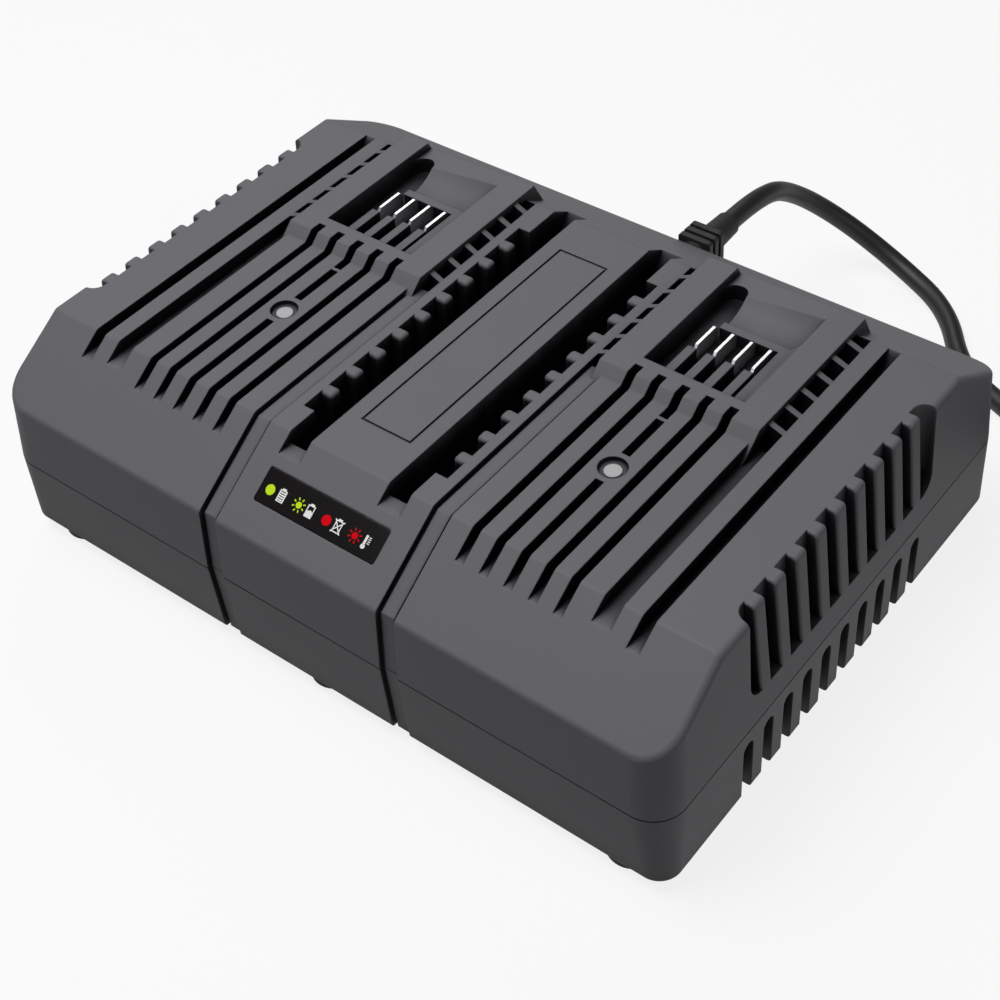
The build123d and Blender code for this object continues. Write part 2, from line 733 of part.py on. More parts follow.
    # ribbed pockets in both side walls, with a vent through the wall behind each gap
    rib_places = [(0, side_rib_first + index * side_rib_pitch, 0) for index in range(side_rib_count)]
    for side in sides:
        add(side_pocket_room.part if side > 0 else side_pocket_room.part.mirror(Plane.YZ), mode=Mode.SUBTRACT)
        with Locations(*rib_places):
            add(side_rib.part if side > 0 else side_rib.part.mirror(Plane.YZ))
        with BuildSketch(Plane.YZ.offset(side * (side_pocket_plane - cover_wall - 1))):
            for index in range(side_rib_count + 1):
                with Locations((side_rib_first + (index - 0.5) * side_rib_pitch, (vent_bottom + vent_top) / 2)):
                    SlotOverall(vent_top - vent_bottom, vent_length, rotation=90)
        extrude(amount=side * (cover_wall + 2), mode=Mode.SUBTRACT)

    # display window: a shallow seat with a smaller opening through it
    with BuildSketch(slope_origin.offset(-window_recess)):
        RectangleRounded(window_width, window_height, window_round)
    extrude(amount=far, mode=Mode.SUBTRACT)
    with BuildSketch(slope_origin.offset(-slope_thickness - 1)):
        Rectangle(window_width - 2 * window_ledge, window_height - 2 * window_ledge)
    extrude(amount=slope_thickness + 2, mode=Mode.SUBTRACT)

    # hole for the cord's boot, and pilot holes for the screws
    with BuildSketch(Plane.XZ.offset(-rear_face - 1)):
        with Locations((cord_x, cord_height)):
            Circle(boot_hole_diameter / 2)
    extrude(amount=cover_wall + wall_draft + 2, mode=Mode.SUBTRACT)
    with BuildSketch(Plane.XY.offset(parting_height)):
        with Locations(*screw_posts):
            Circle(screw_diameter / 2 + screw_clearance / 2)
    extrude(amount=screw_bite + 1, mode=Mode.SUBTRACT)
    with BuildSketch(Plane.XY.offset(deck_underside)):
        with Locations(*[(x + side * (pocket_width + block_flange) / 2, (pocket_front + pocket_rear) / 2)
                         for x in bays.values() for side in sides]):
            Circle(terminal_screw_diameter / 2 + fit_gap)
    extrude(amount=terminal_screw_bite + 0.5, mode=Mode.SUBTRACT)
finish(top_cover, "top_cover")

# ---------------------------------------------------------------- lower case
with BuildPart() as bottom_case:
    with BuildSketch(Plane.XY.offset(case_bottom)):
        RectangleRounded(width, depth - 2 * base_draft, base_corner_radius)
    with BuildSketch(Plane.XY.offset(parting_height)):
        RectangleRounded(width, depth, corner_radius)
    loft()
    fillet(bottom_case.faces().sort_by(Axis.Z)[0].edges(), base_round)
    # shadow line under the upper cover
    line_height, line_depth = parting_groove
    with BuildSketch(Plane.XY.offset(parting_height - line_height)):
        Rectangle(far, far)
        RectangleRounded(width - 2 * line_depth, depth - 2 * line_depth, corner_radius - line_depth,
                         mode=Mode.SUBTRACT)
    extrude(amount=far, mode=Mode.SUBTRACT)
    with BuildSketch(Plane.XY.offset(floor_top)):
        RectangleRounded(width - 2 * case_side_wall, depth - 2 * (base_draft + case_end_wall),
                         corner_radius - case_end_wall)
    extrude(amount=far, mode=Mode.SUBTRACT)
    # tongue that locates the upper cover
    tongue_outer = cover_wall + tongue_gap
    with BuildSketch(Plane.XY.offset(parting_height - tongue_root)):
        RectangleRounded(width - 2 * tongue_outer, depth - 2 * tongue_outer, corner_radius - tongue_outer)
        RectangleRounded(width - 2 * case_side_wall, depth - 2 * (tongue_outer + tongue_thickness),
                         corner_radius - tongue_outer - tongue_thickness, mode=Mode.SUBTRACT)
    extrude(amount=tongue_root + tongue_height)
    # screw posts, board posts and the two cord clamp posts with the rest between them
    with BuildSketch(Plane.XY.offset(case_bottom + 1)):
        with Locations(*screw_posts):
            Circle(post_diameter / 2)
    extrude(amount=parting_height - case_bottom - 1)
    with BuildSketch(Plane.XY.offset(case_bottom + 1)):
        with Locations(*board_post_places):
            Circle(board_post_diameter / 2)
    extrude(amount=board_height - case_bottom - 1)
    clamp_rest = cord_height - cord_diameter / 2
    with BuildSketch(Plane.XY.offset(case_bottom + 1)):
        with Locations((cord_x - clamp_spread, clamp_y), (cord_x + clamp_spread, clamp_y)):
            Circle(clamp_post_diameter / 2)
        with Locations((cord_x, clamp_y)):
            Rectangle(2 * clamp_spread, clamp_width / 2)
    extrude(amount=clamp_rest - case_bottom - 1)
    # holes
    with BuildSketch(Plane.XY):
        with Locations(*screw_posts):
            Circle(screw_head_diameter / 2 + fit_gap)
    extrude(amount=screw_seat, mode=Mode.SUBTRACT)
    with BuildSketch(Plane.XY):
        with Locations(*screw_posts):
            Circle(screw_diameter / 2 + screw_clearance / 2)
    extrude(amount=far, mode=Mode.SUBTRACT)
    with BuildSketch(Plane.XY.offset(board_height)):
        with Locations(*board_post_places):
            Circle(screw_diameter / 2 + fit_gap)
    extrude(amount=board_thickness - board_screw_length - 0.5, mode=Mode.SUBTRACT)
    with BuildSketch(Plane.XY.offset(clamp_rest)):
        with Locations((cord_x - clamp_spread, clamp_y), (cord_x + clamp_spread, clamp_y)):
            Circle(screw_diameter / 2 + fit_gap)
    extrude(amount=-clamp_screw_bite - 0.5, mode=Mode.SUBTRACT)
    # seats and stem holes for the feet
    with BuildSketch(Plane.XY.offset(case_bottom)):
        with Locations(*[(x, side * foot_row) for x in foot_columns for side in sides]):
            Circle(foot_diameter / 2 + foot_clearance)
    extrude(amount=foot_seat, mode=Mode.SUBTRACT)
    with BuildSketch(Plane.XY.offset(case_bottom)):
        with Locations(*[(x, side * foot_row) for x in foot_columns for side in sides]):
            Circle(foot_stem_diameter / 2 + foot_clearance)
    extrude(amount=case_floor, mode=Mode.SUBTRACT)
    # air slots up both sides, and two rows of slots in the floor
    for side in sides:
        with BuildSketch(Plane.YZ.offset(side * (width / 2 - case_slot_depth))):
            for index in range(case_slot_count):
                slot_y = case_slot_first + index * case_slot_pitch + case_slot_width / 2
                with Locations((slot_y, 0)):
                    SlotOverall(2 * case_slot_top, case_slot_width, rotation=90)
        extrude(amount=side * far, mode=Mode.SUBTRACT)
    with BuildSketch(Plane.XY):
        for index in range(floor_vent_count):
            slot_y = (index - (floor_vent_count - 1) / 2) * floor_vent_pitch
            with Locations((-floor_vent_x, slot_y), (floor_vent_x, slot_y)):
                SlotOverall(floor_vent_size[1], floor_vent_size[0])
    extrude(amount=floor_top + 1, mode=Mode.SUBTRACT)
    # the seam grooves run on down the front wall
    for inner, size, drop in seam_cuts:
        for x in mirrored(inner, size):
            with BuildSketch(Plane.YZ.offset(x)):
                Polygon(*case_seam_outline(drop), align=None)
            extrude(amount=size / 2, both=True, mode=Mode.SUBTRACT)
finish(bottom_case, "bottom_case")

# ---------------------------------------------------------------- feet
with BuildPart() as rubber_feet:
    with BuildSketch(Plane.XZ) as foot_outline:
        with BuildLine():
            rim = foot_diameter / 2
            stem = foot_stem_diameter / 2
            seat = case_bottom + foot_seat
            Polyline(
                (0, 0), (rim - foot_chamfer, 0), (rim, foot_chamfer), (rim, seat), (stem, seat),
                (stem, floor_top + fit_gap), (foot_bulb_diameter / 2, floor_top + fit_gap),
                (foot_tip_diameter / 2, floor_top + foot_bulb_height), (0, floor_top + foot_bulb_height), (0, 0),
            )
        make_face()
    revolve(axis=Axis.Z)
foot_solid = rubber_feet.part
with BuildPart() as all_feet:
    with Locations(*[(x, side * foot_row, 0) for x in foot_columns for side in sides]):
        add(foot_solid)
finish(all_feet, "rubber_feet")

# ---------------------------------------------------------------- screws that hold the case together
with BuildPart() as case_screws:
    with BuildSketch(Plane.XY.offset(screw_seat - screw_head_height)):
        with Locations(*screw_posts):
            Circle(screw_head_diameter / 2)
            RegularPolygon(screw_diameter / 2, 6, mode=Mode.SUBTRACT)
    extrude(amount=screw_head_height / 2)
    with BuildSketch(Plane.XY.offset(screw_seat - screw_head_height / 2)):
        with Locations(*screw_posts):
            Circle(screw_head_diameter / 2)
    extrude(amount=screw_head_height / 2)
    with BuildSketch(Plane.XY.offset(screw_seat)):
        with Locations(*screw_posts):
            Circle(screw_diameter / 2)
    extrude(amount=parting_height + screw_bite - screw_seat)
finish(case_screws, "case_screws")

# ---------------------------------------------------------------- display window, light guide, board and lamps
with BuildPart() as display_window:
    with BuildSketch(slope_origin.offset(-window_recess)):
        RectangleRounded(window_width - 2 * fit_gap, window_height - 2 * fit_gap, window_round)
    extrude(amount=window_thickness)
finish(display_window, "display_window")

guide_width = window_width - 2 * window_ledge - 2 * fit_gap
guide_height = window_height - 2 * window_ledge - 2 * fit_gap
with BuildPart() as display_light_guide:
    with BuildSketch(slope_origin.offset(-window_recess - fit_gap)):
        Rectangle(guide_width, guide_height)
    extrude(amount=display_lamp_size[2] + window_recess + 2 * fit_gap - display_board_drop)
finish(display_light_guide, "display_light_guide")

with BuildPart() as display_board:
    with BuildSketch(slope_origin.offset(-display_board_drop)):
        with Locations((0, display_shift)):
            Rectangle(display_board_size[0], display_board_size[1])
            with Locations((-display_post_x, 0), (display_post_x, 0)):
                Circle(terminal_screw_diameter / 2 + fit_gap, mode=Mode.SUBTRACT)
    extrude(amount=-display_board_size[2])
finish(display_board, "display_board")

with BuildPart() as display_lamps:
    with BuildSketch(slope_origin.offset(-display_board_drop)):
        with GridLocations(display_lamp_pitch, 1, display_lamp_count, 1):
            Rectangle(display_lamp_size[0], display_lamp_size[1])
    extrude(amount=display_lamp_size[2])
finish(display_lamps, "display_lamps")

# ---------------------------------------------------------------- lamp caps of the bays and the lamps under them
for name, x in bays.items():
    with BuildPart() as light_pipe:
        with BuildSketch(Plane.XY.offset(deck_height - lamp_well_depth)):
            with Locations((x, lamp_y)):
                Circle(lamp_cap_diameter / 2)
        extrude(amount=lamp_well_depth - lamp_cap_drop)
        with BuildSketch(Plane.XY.offset(board_top + bay_lamp_size[2] + 2 * fit_gap)):
            with Locations((x, lamp_y)):
                Circle(lamp_stem_diameter / 2)
        extrude(until=Until.NEXT)
    finish(light_pipe, f"bay_light_pipe_{name}")

with BuildPart() as bay_lamps:
    with BuildSketch(Plane.XY.offset(board_top)):
        with Locations(*[(x, lamp_y) for x in bays.values()]):
            Rectangle(bay_lamp_size[0], bay_lamp_size[1])
    extrude(amount=bay_lamp_size[2])
finish(bay_lamps, "bay_lamps")

# ---------------------------------------------------------------- contact blocks with their blades and screws
blade_places = [(index - (blade_count - 1) / 2) * blade_pitch for index in range(blade_count)]
block_half = pocket_width / 2 - fit_gap
block_front = pocket_front + fit_gap
block_rear = pocket_rear - fit_gap
slot_middles = [place + contact_slot_side + contact_slot_width / 2 for place in blade_places]
slot_edge = blade_places[-1] + block_ramp_start
block_y, block_length = span(block_front, block_rear)
screw_reach = (pocket_width + block_flange) / 2
for name, x in bays.items():
    with BuildPart() as block:
        with BuildSketch(Plane.XY.offset(block_bottom)):
            with Locations((x, block_y)):
                Rectangle(2 * block_half, block_length)
        extrude(amount=block_top - block_bottom)
        # ramp from the last slot up to the tower's top
        with BuildSketch(Plane.XZ.offset(-block_front)):
            Polygon(
                (x + slot_edge, block_bottom), (x + slot_edge, block_well_floor + block_ramp_foot),
                (x + block_half, tower_top - 2 * fit_gap), (x + block_half, block_bottom), align=None,
            )
        extrude(amount=-block_length)
        # flange under the deck with its two screw holes
        with BuildSketch(Plane.XY.offset(deck_underside)):
            with Locations((x, block_y)):
                Rectangle(pocket_width + 2 * block_flange, block_length - 2 * block_flange_inset)
                with Locations((-screw_reach, 0), (screw_reach, 0)):
                    Circle(terminal_screw_diameter / 2 + fit_gap, mode=Mode.SUBTRACT)
        extrude(amount=-block_flange_thickness)
        # open well round the blades, the slots in front of them and the edge channel
        well_y, well_length = span(blade_front, blade_rear)
        well_x, well_width = span(-block_half, slot_edge)
        with BuildSketch(Plane.XY.offset(block_well_floor)):
            with Locations((x + well_x, well_y)):
                Rectangle(well_width, well_length)
            with Locations((x - block_half + block_edge_channel / 2, block_y)):
                Rectangle(block_edge_channel, block_length)
            rear_y, rear_length = span(blade_rear, block_rear)
            with Locations((x - block_half + side_channel_width / 2, rear_y)):
                Rectangle(side_channel_width, rear_length)
        extrude(amount=far, mode=Mode.SUBTRACT)
        slot_y, slot_length = span(block_front, blade_front)
        with BuildSketch(Plane.XY.offset(contact_slot_floor)):
            with Locations(*[(x + place, slot_y) for place in slot_middles[:-1]]):
                Rectangle(contact_slot_width, slot_length)
            last_slot = block_ramp_start - contact_slot_side
            with Locations((x + slot_edge - last_slot / 2, slot_y)):
                Rectangle(last_slot, slot_length)
        extrude(amount=far, mode=Mode.SUBTRACT)
        # lower ledge beside the first bar
        ledge_x, ledge_width = span(-block_half, slot_middles[0] - contact_slot_width / 2 - blade_pitch
                                    + contact_slot_width)
        with BuildSketch(Plane.XY.offset(block_top - block_ledge_depth)):
            with Locations((x + ledge_x, slot_y)):
                Rectangle(ledge_width, slot_length)
        extrude(amount=far, mode=Mode.SUBTRACT)
        # slits that the blades are pushed through
        with BuildSketch(Plane.XY.offset(block_bottom - 1)):
            with Locations(*[(x + place, well_y) for place in blade_places]):
                Rectangle(blade_thickness + 2 * blade_clearance, well_length + 2 * (blade_clearance - blade_shoulder))
        extrude(amount=far, mode=Mode.SUBTRACT)
    finish(block, f"terminal_block_{name}")

    with BuildPart() as blades:
        for place in blade_places:
            with BuildSketch(Plane.YZ.offset(x + place)) as blade_outline:
                with Locations((well_y, (block_well_floor + blade_top) / 2 + fit_gap / 2)):
                    Rectangle(well_length, blade_top - block_well_floor - fit_gap)
                chamfer(blade_outline.vertices().group_by(Axis.Y)[-1], blade_chamfer)
                with Locations((well_y, (block_bottom + block_well_floor + blade_sink) / 2)):
                    Rectangle(well_length - 2 * blade_shoulder, block_well_floor + blade_sink - block_bottom)
                with Locations((well_y, (blade_tail_bottom + block_bottom + blade_sink) / 2)):
                    Rectangle(blade_tail_length, block_bottom + blade_sink - blade_tail_bottom)
            extrude(amount=blade_thickness / 2, both=True)
    finish(blades, f"terminal_blades_{name}")

with BuildPart() as terminal_screws:
    places = [(x + side * screw_reach, block_y) for x in bays.values() for side in sides]
    with BuildSketch(Plane.XY.offset(deck_underside - block_flange_thickness)):
        with Locations(*places):
            Circle(terminal_screw_diameter)
    extrude(amount=-terminal_screw_head)
    with BuildSketch(Plane.XY.offset(deck_underside - block_flange_thickness)):
        with Locations(*places):
            Circle(terminal_screw_diameter / 2)
    extrude(amount=block_flange_thickness + terminal_screw_bite)
finish(terminal_screws, "terminal_screws")

with BuildPart() as display_screws:
    places = [(side * display_post_x, display_shift) for side in sides]
    under_board = slope_origin.offset(-display_board_drop - display_board_size[2])
    with BuildSketch(under_board):
        with Locations(*places):
            Circle(terminal_screw_diameter)
    extrude(amount=-terminal_screw_head)
    with BuildSketch(under_board):
        with Locations(*places):
            Circle(terminal_screw_diameter / 2)
    extrude(amount=display_board_size[2])
finish(display_screws, "display_screws")

# ---------------------------------------------------------------- main board and its screws
with BuildPart() as main_board:
    with BuildSketch(Plane.XY.offset(board_height)):
        with Locations((0, board_y)):
            RectangleRounded(board_length, board_width, board_round)
        with Locations(*board_post_places):
            Circle(screw_diameter / 2 + fit_gap, mode=Mode.SUBTRACT)
    extrude(amount=board_thickness)
finish(main_board, "main_board")

with BuildPart() as board_screws:
    with BuildSketch(Plane.XY.offset(board_top)):
        with Locations(*board_post_places):
            Circle(screw_head_diameter / 2)
    extrude(amount=screw_head_height)
    with BuildSketch(Plane.XY.offset(board_top)):
        with Locations(*board_post_places):
            Circle(screw_diameter / 2)
    extrude(amount=-board_screw_length)
finish(board_screws, "board_screws")

# ---------------------------------------------------------------- transformer
core_middle = board_top + bobbin_flange + core_height / 2
transformer_plane = Plane(
    origin=(transformer_place[0], transformer_place[1], core_middle), x_dir=(1, 0, 0), z_dir=(0, -1, 0)
)
with BuildPart() as transformer_core:
    with BuildSketch(transformer_plane):
        Rectangle(core_size[0], core_height)
        Rectangle(window_x, window_z, mode=Mode.SUBTRACT)
        Rectangle(core_leg, core_height)
    extrude(amount=core_leg / 2, both=True)
finish(transformer_core, "transformer_core")

bobbin_inner = core_leg + 2 * core_gap
bobbin_outer = bobbin_inner + 2 * bobbin_wall
flange_size = core_size[1] - flange_inset
with BuildPart() as transformer_bobbin:
    bobbin_height = window_z - 2 * core_gap
    with BuildSketch(Plane.XY.offset(core_middle - bobbin_height / 2)):
        with Locations(transformer_place):
            Rectangle(bobbin_outer, bobbin_outer)
    extrude(amount=bobbin_height)
    for level in (core_middle - bobbin_height / 2, core_middle + bobbin_height / 2 - bobbin_flange):
        with BuildSketch(Plane.XY.offset(level)):
            with Locations(transformer_place):
                Rectangle(window_x - 2 * core_gap, flange_size)
        extrude(amount=bobbin_flange)
    with BuildSketch(Plane.XY.offset(core_middle - bobbin_height / 2)):
        with Locations(transformer_place):
            Rectangle(bobbin_inner, bobbin_inner)
    extrude(amount=bobbin_height, mode=Mode.SUBTRACT)
    # two feet that stand on the board either side of the core
    foot_y = (core_leg / 2 + core_gap + flange_size / 2) / 2
    foot_depth = flange_size / 2 - core_leg / 2 - core_gap
    with BuildSketch(Plane.XY.offset(board_top)):
        with Locations(*[(transformer_place[0], transformer_place[1] + side * foot_y) for side in sides]):
            Rectangle(window_x - 2 * core_gap, foot_depth)
    extrude(amount=core_middle - bobbin_height / 2 - board_top)
finish(transformer_bobbin, "transformer_bobbin")

with BuildPart() as transformer_winding:
    winding_height = bobbin_height - 2 * bobbin_flange - 2 * fit_gap
    with BuildSketch(Plane.XY.offset(core_middle - winding_height / 2)):
        with Locations(transformer_place):
            RectangleRounded(window_x - 4 * core_gap, flange_size - winding_inset, winding_round)
            Rectangle(bobbin_outer + 2 * fit_gap, bobbin_outer + 2 * fit_gap, mode=Mode.SUBTRACT)
    extrude(amount=winding_height)
finish(transformer_winding, "transformer_winding")

# ---------------------------------------------------------------- capacitors, rectifier and fuse
for name, diameter, height, places in (
    ("bulk_capacitors", bulk_diameter, bulk_height, bulk_places),
    ("output_capacitors", output_cap_diameter, output_cap_height, output_cap_places),
):
    with BuildPart() as cans:
        with BuildSketch(Plane.XY.offset(board_top)):
            with Locations(*places):
                Circle(diameter / 2)
        extrude(amount=height)
        chamfer(cans.faces().filter_by(Axis.Z).group_by(Axis.Z)[-1].edges(), can_chamfer)
        with BuildSketch(Plane.XY.offset(board_top + height)):
            with Locations(*places):
                Rectangle(diameter * 0.6, can_cross[0])
                Rectangle(can_cross[0], diameter * 0.6)
        extrude(amount=-can_cross[1], mode=Mode.SUBTRACT)
    finish(cans, name)

with BuildPart() as filter_capacitor:
    with BuildSketch(Plane.XY.offset(board_top)):
        with Locations(film_cap_place):
            RectangleRounded(film_cap_size[0], film_cap_size[1], 1)
    extrude(amount=film_cap_size[2])
    fillet(filter_capacitor.faces().sort_by(Axis.Z)[-1].edges(), film_cap_round)
finish(filter_capacitor, "filter_capacitor")

with BuildPart() as bridge_rectifier:
    with BuildSketch(Plane.XY.offset(board_top)):
        with Locations(bridge_place):
            Rectangle(bridge_size[0], bridge_size[1])
    extrude(amount=bridge_size[2])
    chamfer(bridge_rectifier.faces().sort_by(Axis.Z)[-1].edges().sort_by(Axis.X)[-1], bridge_chamfer)
finish(bridge_rectifier, "bridge_rectifier")

fuse_axis = board_top + fuse_lift
fuse_plane = Plane.YZ.offset(fuse_place[0] - fuse_length / 2)
with BuildPart() as fuse:
    with BuildSketch(fuse_plane):
        with Locations((fuse_place[1], fuse_axis)):
            Circle(fuse_diameter / 2)
    extrude(amount=fuse_length)
finish(fuse, "fuse")

with BuildPart() as fuse_clips:
    clip_inner = fuse_diameter / 2 + fit_gap
    for end in (fuse_place[0] - fuse_length / 2, fuse_place[0] + fuse_length / 2 - clip_width):
        with BuildSketch(Plane.YZ.offset(end)):
            with Locations((fuse_place[1], fuse_axis)):
                Circle(clip_inner + clip_wall)
            with Locations((fuse_place[1], (board_top + fuse_axis - clip_inner) / 2)):
                Rectangle(clip_inner, fuse_axis - clip_inner - board_top)
            with Locations((fuse_place[1], fuse_axis)):
                Circle(clip_inner, mode=Mode.SUBTRACT)
            with Locations((fuse_place[1], fuse_axis + fuse_diameter)):
                Rectangle(fuse_diameter * 0.7, fuse_diameter * 1.2, mode=Mode.SUBTRACT)
        extrude(amount=clip_width)
finish(fuse_clips, "fuse_clips")

# ---------------------------------------------------------------- input choke
loop_reach = (choke_radius - choke_hole) / 2 + choke_wire / 2 + fit_gap
loop_height = choke_height / 2 + choke_wire / 2 + fit_gap
loop_middle = (choke_radius + choke_hole) / 2
choke_axis = board_top + loop_middle + loop_reach + choke_wire / 2
choke_plane = Plane(origin=(choke_place[0], choke_place[1], choke_axis), x_dir=(1, 0, 0), z_dir=(0, -1, 0))
with BuildPart() as input_choke_core:
    with BuildSketch(choke_plane):
        Circle(choke_radius)
        Circle(choke_hole, mode=Mode.SUBTRACT)
    extrude(amount=choke_height / 2, both=True)
finish(input_choke_core, "input_choke_core")

with BuildPart() as input_choke_winding:
    for index in range(choke_turns):
        turn = 360 * (index + 0.5) / choke_turns
        spoke = Plane(
            origin=choke_plane.origin + choke_plane.x_dir * loop_middle * math.cos(math.radians(turn))
            + choke_plane.y_dir * loop_middle * math.sin(math.radians(turn)),
            x_dir=choke_plane.x_dir * math.cos(math.radians(turn))
            + choke_plane.y_dir * math.sin(math.radians(turn)),
            z_dir=choke_plane.y_dir * math.cos(math.radians(turn))
            - choke_plane.x_dir * math.sin(math.radians(turn)),
        )
        with BuildSketch(spoke):
            Rectangle(2 * loop_reach + choke_wire, 2 * loop_height + choke_wire)
            Rectangle(2 * loop_reach - choke_wire, 2 * loop_height - choke_wire, mode=Mode.SUBTRACT)
        extrude(amount=choke_wire / 2, both=True)
finish(input_choke_winding, "input_choke_winding")

# ---------------------------------------------------------------- heat sinks and power transistors
for name, side in (("left", -1), ("right", 1)):
    with BuildPart() as heat_sink:
        with BuildSketch(Plane.XY.offset(board_top)):
            with Locations((side * (sink_x + sink_plate / 2), sink_y)):
                Rectangle(sink_plate, sink_length)
            for index in range(fin_count):
                fin_y = sink_y + (index - (fin_count - 1) / 2) * (sink_length - fin_thickness) / (fin_count - 1)
                with Locations((side * (sink_x + sink_plate + fin_reach / 2), fin_y)):
                    Rectangle(fin_reach, fin_thickness)
        extrude(amount=sink_height)
    finish(heat_sink, f"heat_sink_{name}")

with BuildPart() as power_transistors:
    package_x, package_y, package_z = transistor_size
    for side in sides:
        for y in transistor_places:
            with BuildSketch(Plane.XY.offset(board_top + transistor_lift)):
                with Locations((side * (sink_x - package_x / 2), y)):
                    Rectangle(package_x, package_y)
            extrude(amount=package_z)
            with BuildSketch(Plane.XY.offset(board_top)):
                with Locations(*[(side * (sink_x - package_x / 2), y + lead * transistor_lead[2])
                                 for lead in (-1, 0, 1)]):
                    Rectangle(transistor_lead[0], transistor_lead[1])
            extrude(amount=transistor_lift)
finish(power_transistors, "power_transistors")

# ---------------------------------------------------------------- leads from the board to the blades
for name, x in bays.items():
    with BuildPart() as leads:
        for place in blade_places:
            start = Vector(x + place, well_y, blade_tail_bottom)
            points = [
                start,
                start - Vector(0, 0, lead_drops[0]),
                start + Vector(0, lead_shift, -lead_drops[1]),
                Vector(x + place, well_y + lead_shift, board_top),
            ]
            with BuildLine() as route:
                FilletPolyline(*points, radius=lead_bend)
            with BuildSketch(Plane(origin=points[0], z_dir=points[1] - points[0])):
                Circle(lead_diameter / 2)
            sweep(path=route.line)
    finish(leads, f"output_leads_{name}")

# ---------------------------------------------------------------- cord: boot, clamp and the stretch inside
bore_radius = cord_diameter / 2 + cord_bore_gap
inner_face = rear_face - cover_wall - wall_draft
with BuildPart() as strain_relief:
    with BuildSketch(Plane.XZ.offset(-inner_face)):
        with Locations((cord_x, cord_height)):
            Circle(boot_neck_diameter / 2)
    extrude(amount=-(rear_face + fit_gap - inner_face))
    rib_start = rear_face + fit_gap
    sleeve_start = rib_start + boot_rib_count * boot_rib_pitch
    with BuildSketch(Plane.XZ.offset(-rib_start)):
        with Locations((cord_x, cord_height)):
            Circle(boot_core_diameter / 2)
    extrude(amount=-(sleeve_start - rib_start))
    for index in range(boot_rib_count):
        with BuildSketch(Plane.XZ.offset(-rib_start - index * boot_rib_pitch)):
            with Locations((cord_x, cord_height)):
                RectangleRounded(boot_rib_width, boot_rib_height, boot_rib_round)
        extrude(amount=-boot_rib_thickness)
    with BuildSketch(Plane.XZ.offset(-sleeve_start)):
        with Locations((cord_x, cord_height)):
            Circle(boot_core_diameter / 2)
    with BuildSketch(Plane.XZ.offset(-boot_end)):
        with Locations((cord_x, cord_height)):
            Circle(boot_tip_diameter / 2)
    loft()
    with BuildSketch(Plane.XZ.offset(-boot_end - 1)):
        with Locations((cord_x, cord_height)):
            Circle(bore_radius)
    extrude(amount=far, mode=Mode.SUBTRACT)
finish(strain_relief, "strain_relief")

with BuildPart() as mains_lead_inner:
    with BuildSketch(Plane.XZ.offset(-inner_cord_end)):
        with Locations((cord_x, cord_height)):
            Circle(cord_diameter / 2)
    extrude(amount=-(boot_end - inner_cord_end))
finish(mains_lead_inner, "mains_lead_inner")

with BuildPart() as cord_clamp:
    clamp_under = cord_height + cord_diameter / 2
    with BuildSketch(Plane.XZ.offset(-clamp_y + clamp_width / 2)):
        with Locations((cord_x, clamp_under + clamp_thickness / 2)):
            Rectangle(2 * clamp_spread + clamp_post_diameter, clamp_thickness)
        with Locations(*[(cord_x + side * clamp_spread, (clamp_rest + clamp_under) / 2) for side in sides]):
            Rectangle(clamp_post_diameter, cord_diameter)
    extrude(amount=-clamp_width)
    with BuildSketch(Plane.XY.offset(clamp_rest - 1)):
        with Locations((cord_x - clamp_spread, clamp_y), (cord_x + clamp_spread, clamp_y)):
            Circle(screw_diameter / 2 + fit_gap)
    extrude(amount=far, mode=Mode.SUBTRACT)
finish(cord_clamp, "cord_clamp")

with BuildPart() as clamp_screws:
    clamp_top = clamp_under + clamp_thickness
    with BuildSketch(Plane.XY.offset(clamp_top)):
        with Locations((cord_x - clamp_spread, clamp_y), (cord_x + clamp_spread, clamp_y)):
            Circle(screw_head_diameter / 2)
    extrude(amount=clamp_screw_head)
    with BuildSketch(Plane.XY.offset(clamp_top)):
        with Locations((cord_x - clamp_spread, clamp_y), (cord_x + clamp_spread, clamp_y)):
            Circle(screw_diameter / 2)
    extrude(amount=clamp_rest - clamp_top - clamp_screw_bite)
finish(clamp_screws, "clamp_screws")

with BuildPart() as mains_wires:
    for side in sides:
        points = [
            Vector(cord_x + side * wire_spread[0], inner_cord_end, cord_height),
            Vector(cord_x + side * wire_spread[0], inner_cord_end - wire_straight, cord_height),
            Vector(cord_x + side * wire_spread[1], inner_cord_end - wire_reach, cord_height - wire_fall),
            Vector(cord_x + side * wire_spread[1], inner_cord_end - wire_reach, board_top),
        ]
        with BuildLine() as route:
            FilletPolyline(*points, radius=wire_bend)
        with BuildSketch(Plane(origin=points[0], z_dir=points[1] - points[0])):
            Circle(lead_diameter / 2)
        sweep(path=route.line)
finish(mains_wires, "mains_wires")

# ---------------------------------------------------------------- cord outside: tube, put-away coil and plug
outer_turn = coil_radius + cord_diameter * (coil_columns - 1) / 2
top_layer = cord_diameter * (coil_layers - 0.5)


def coil_tangent(turn, height, reach):
    """Point a given reach along the tangent at a place on the coil's outer turn."""
    angle = math.radians(turn)
    return Vector(
        coil_centre[0] + outer_turn * math.cos(angle) - reach * math.sin(angle),
        coil_centre[1] + outer_turn * math.sin(angle) + reach * math.cos(angle),
        height,
    )


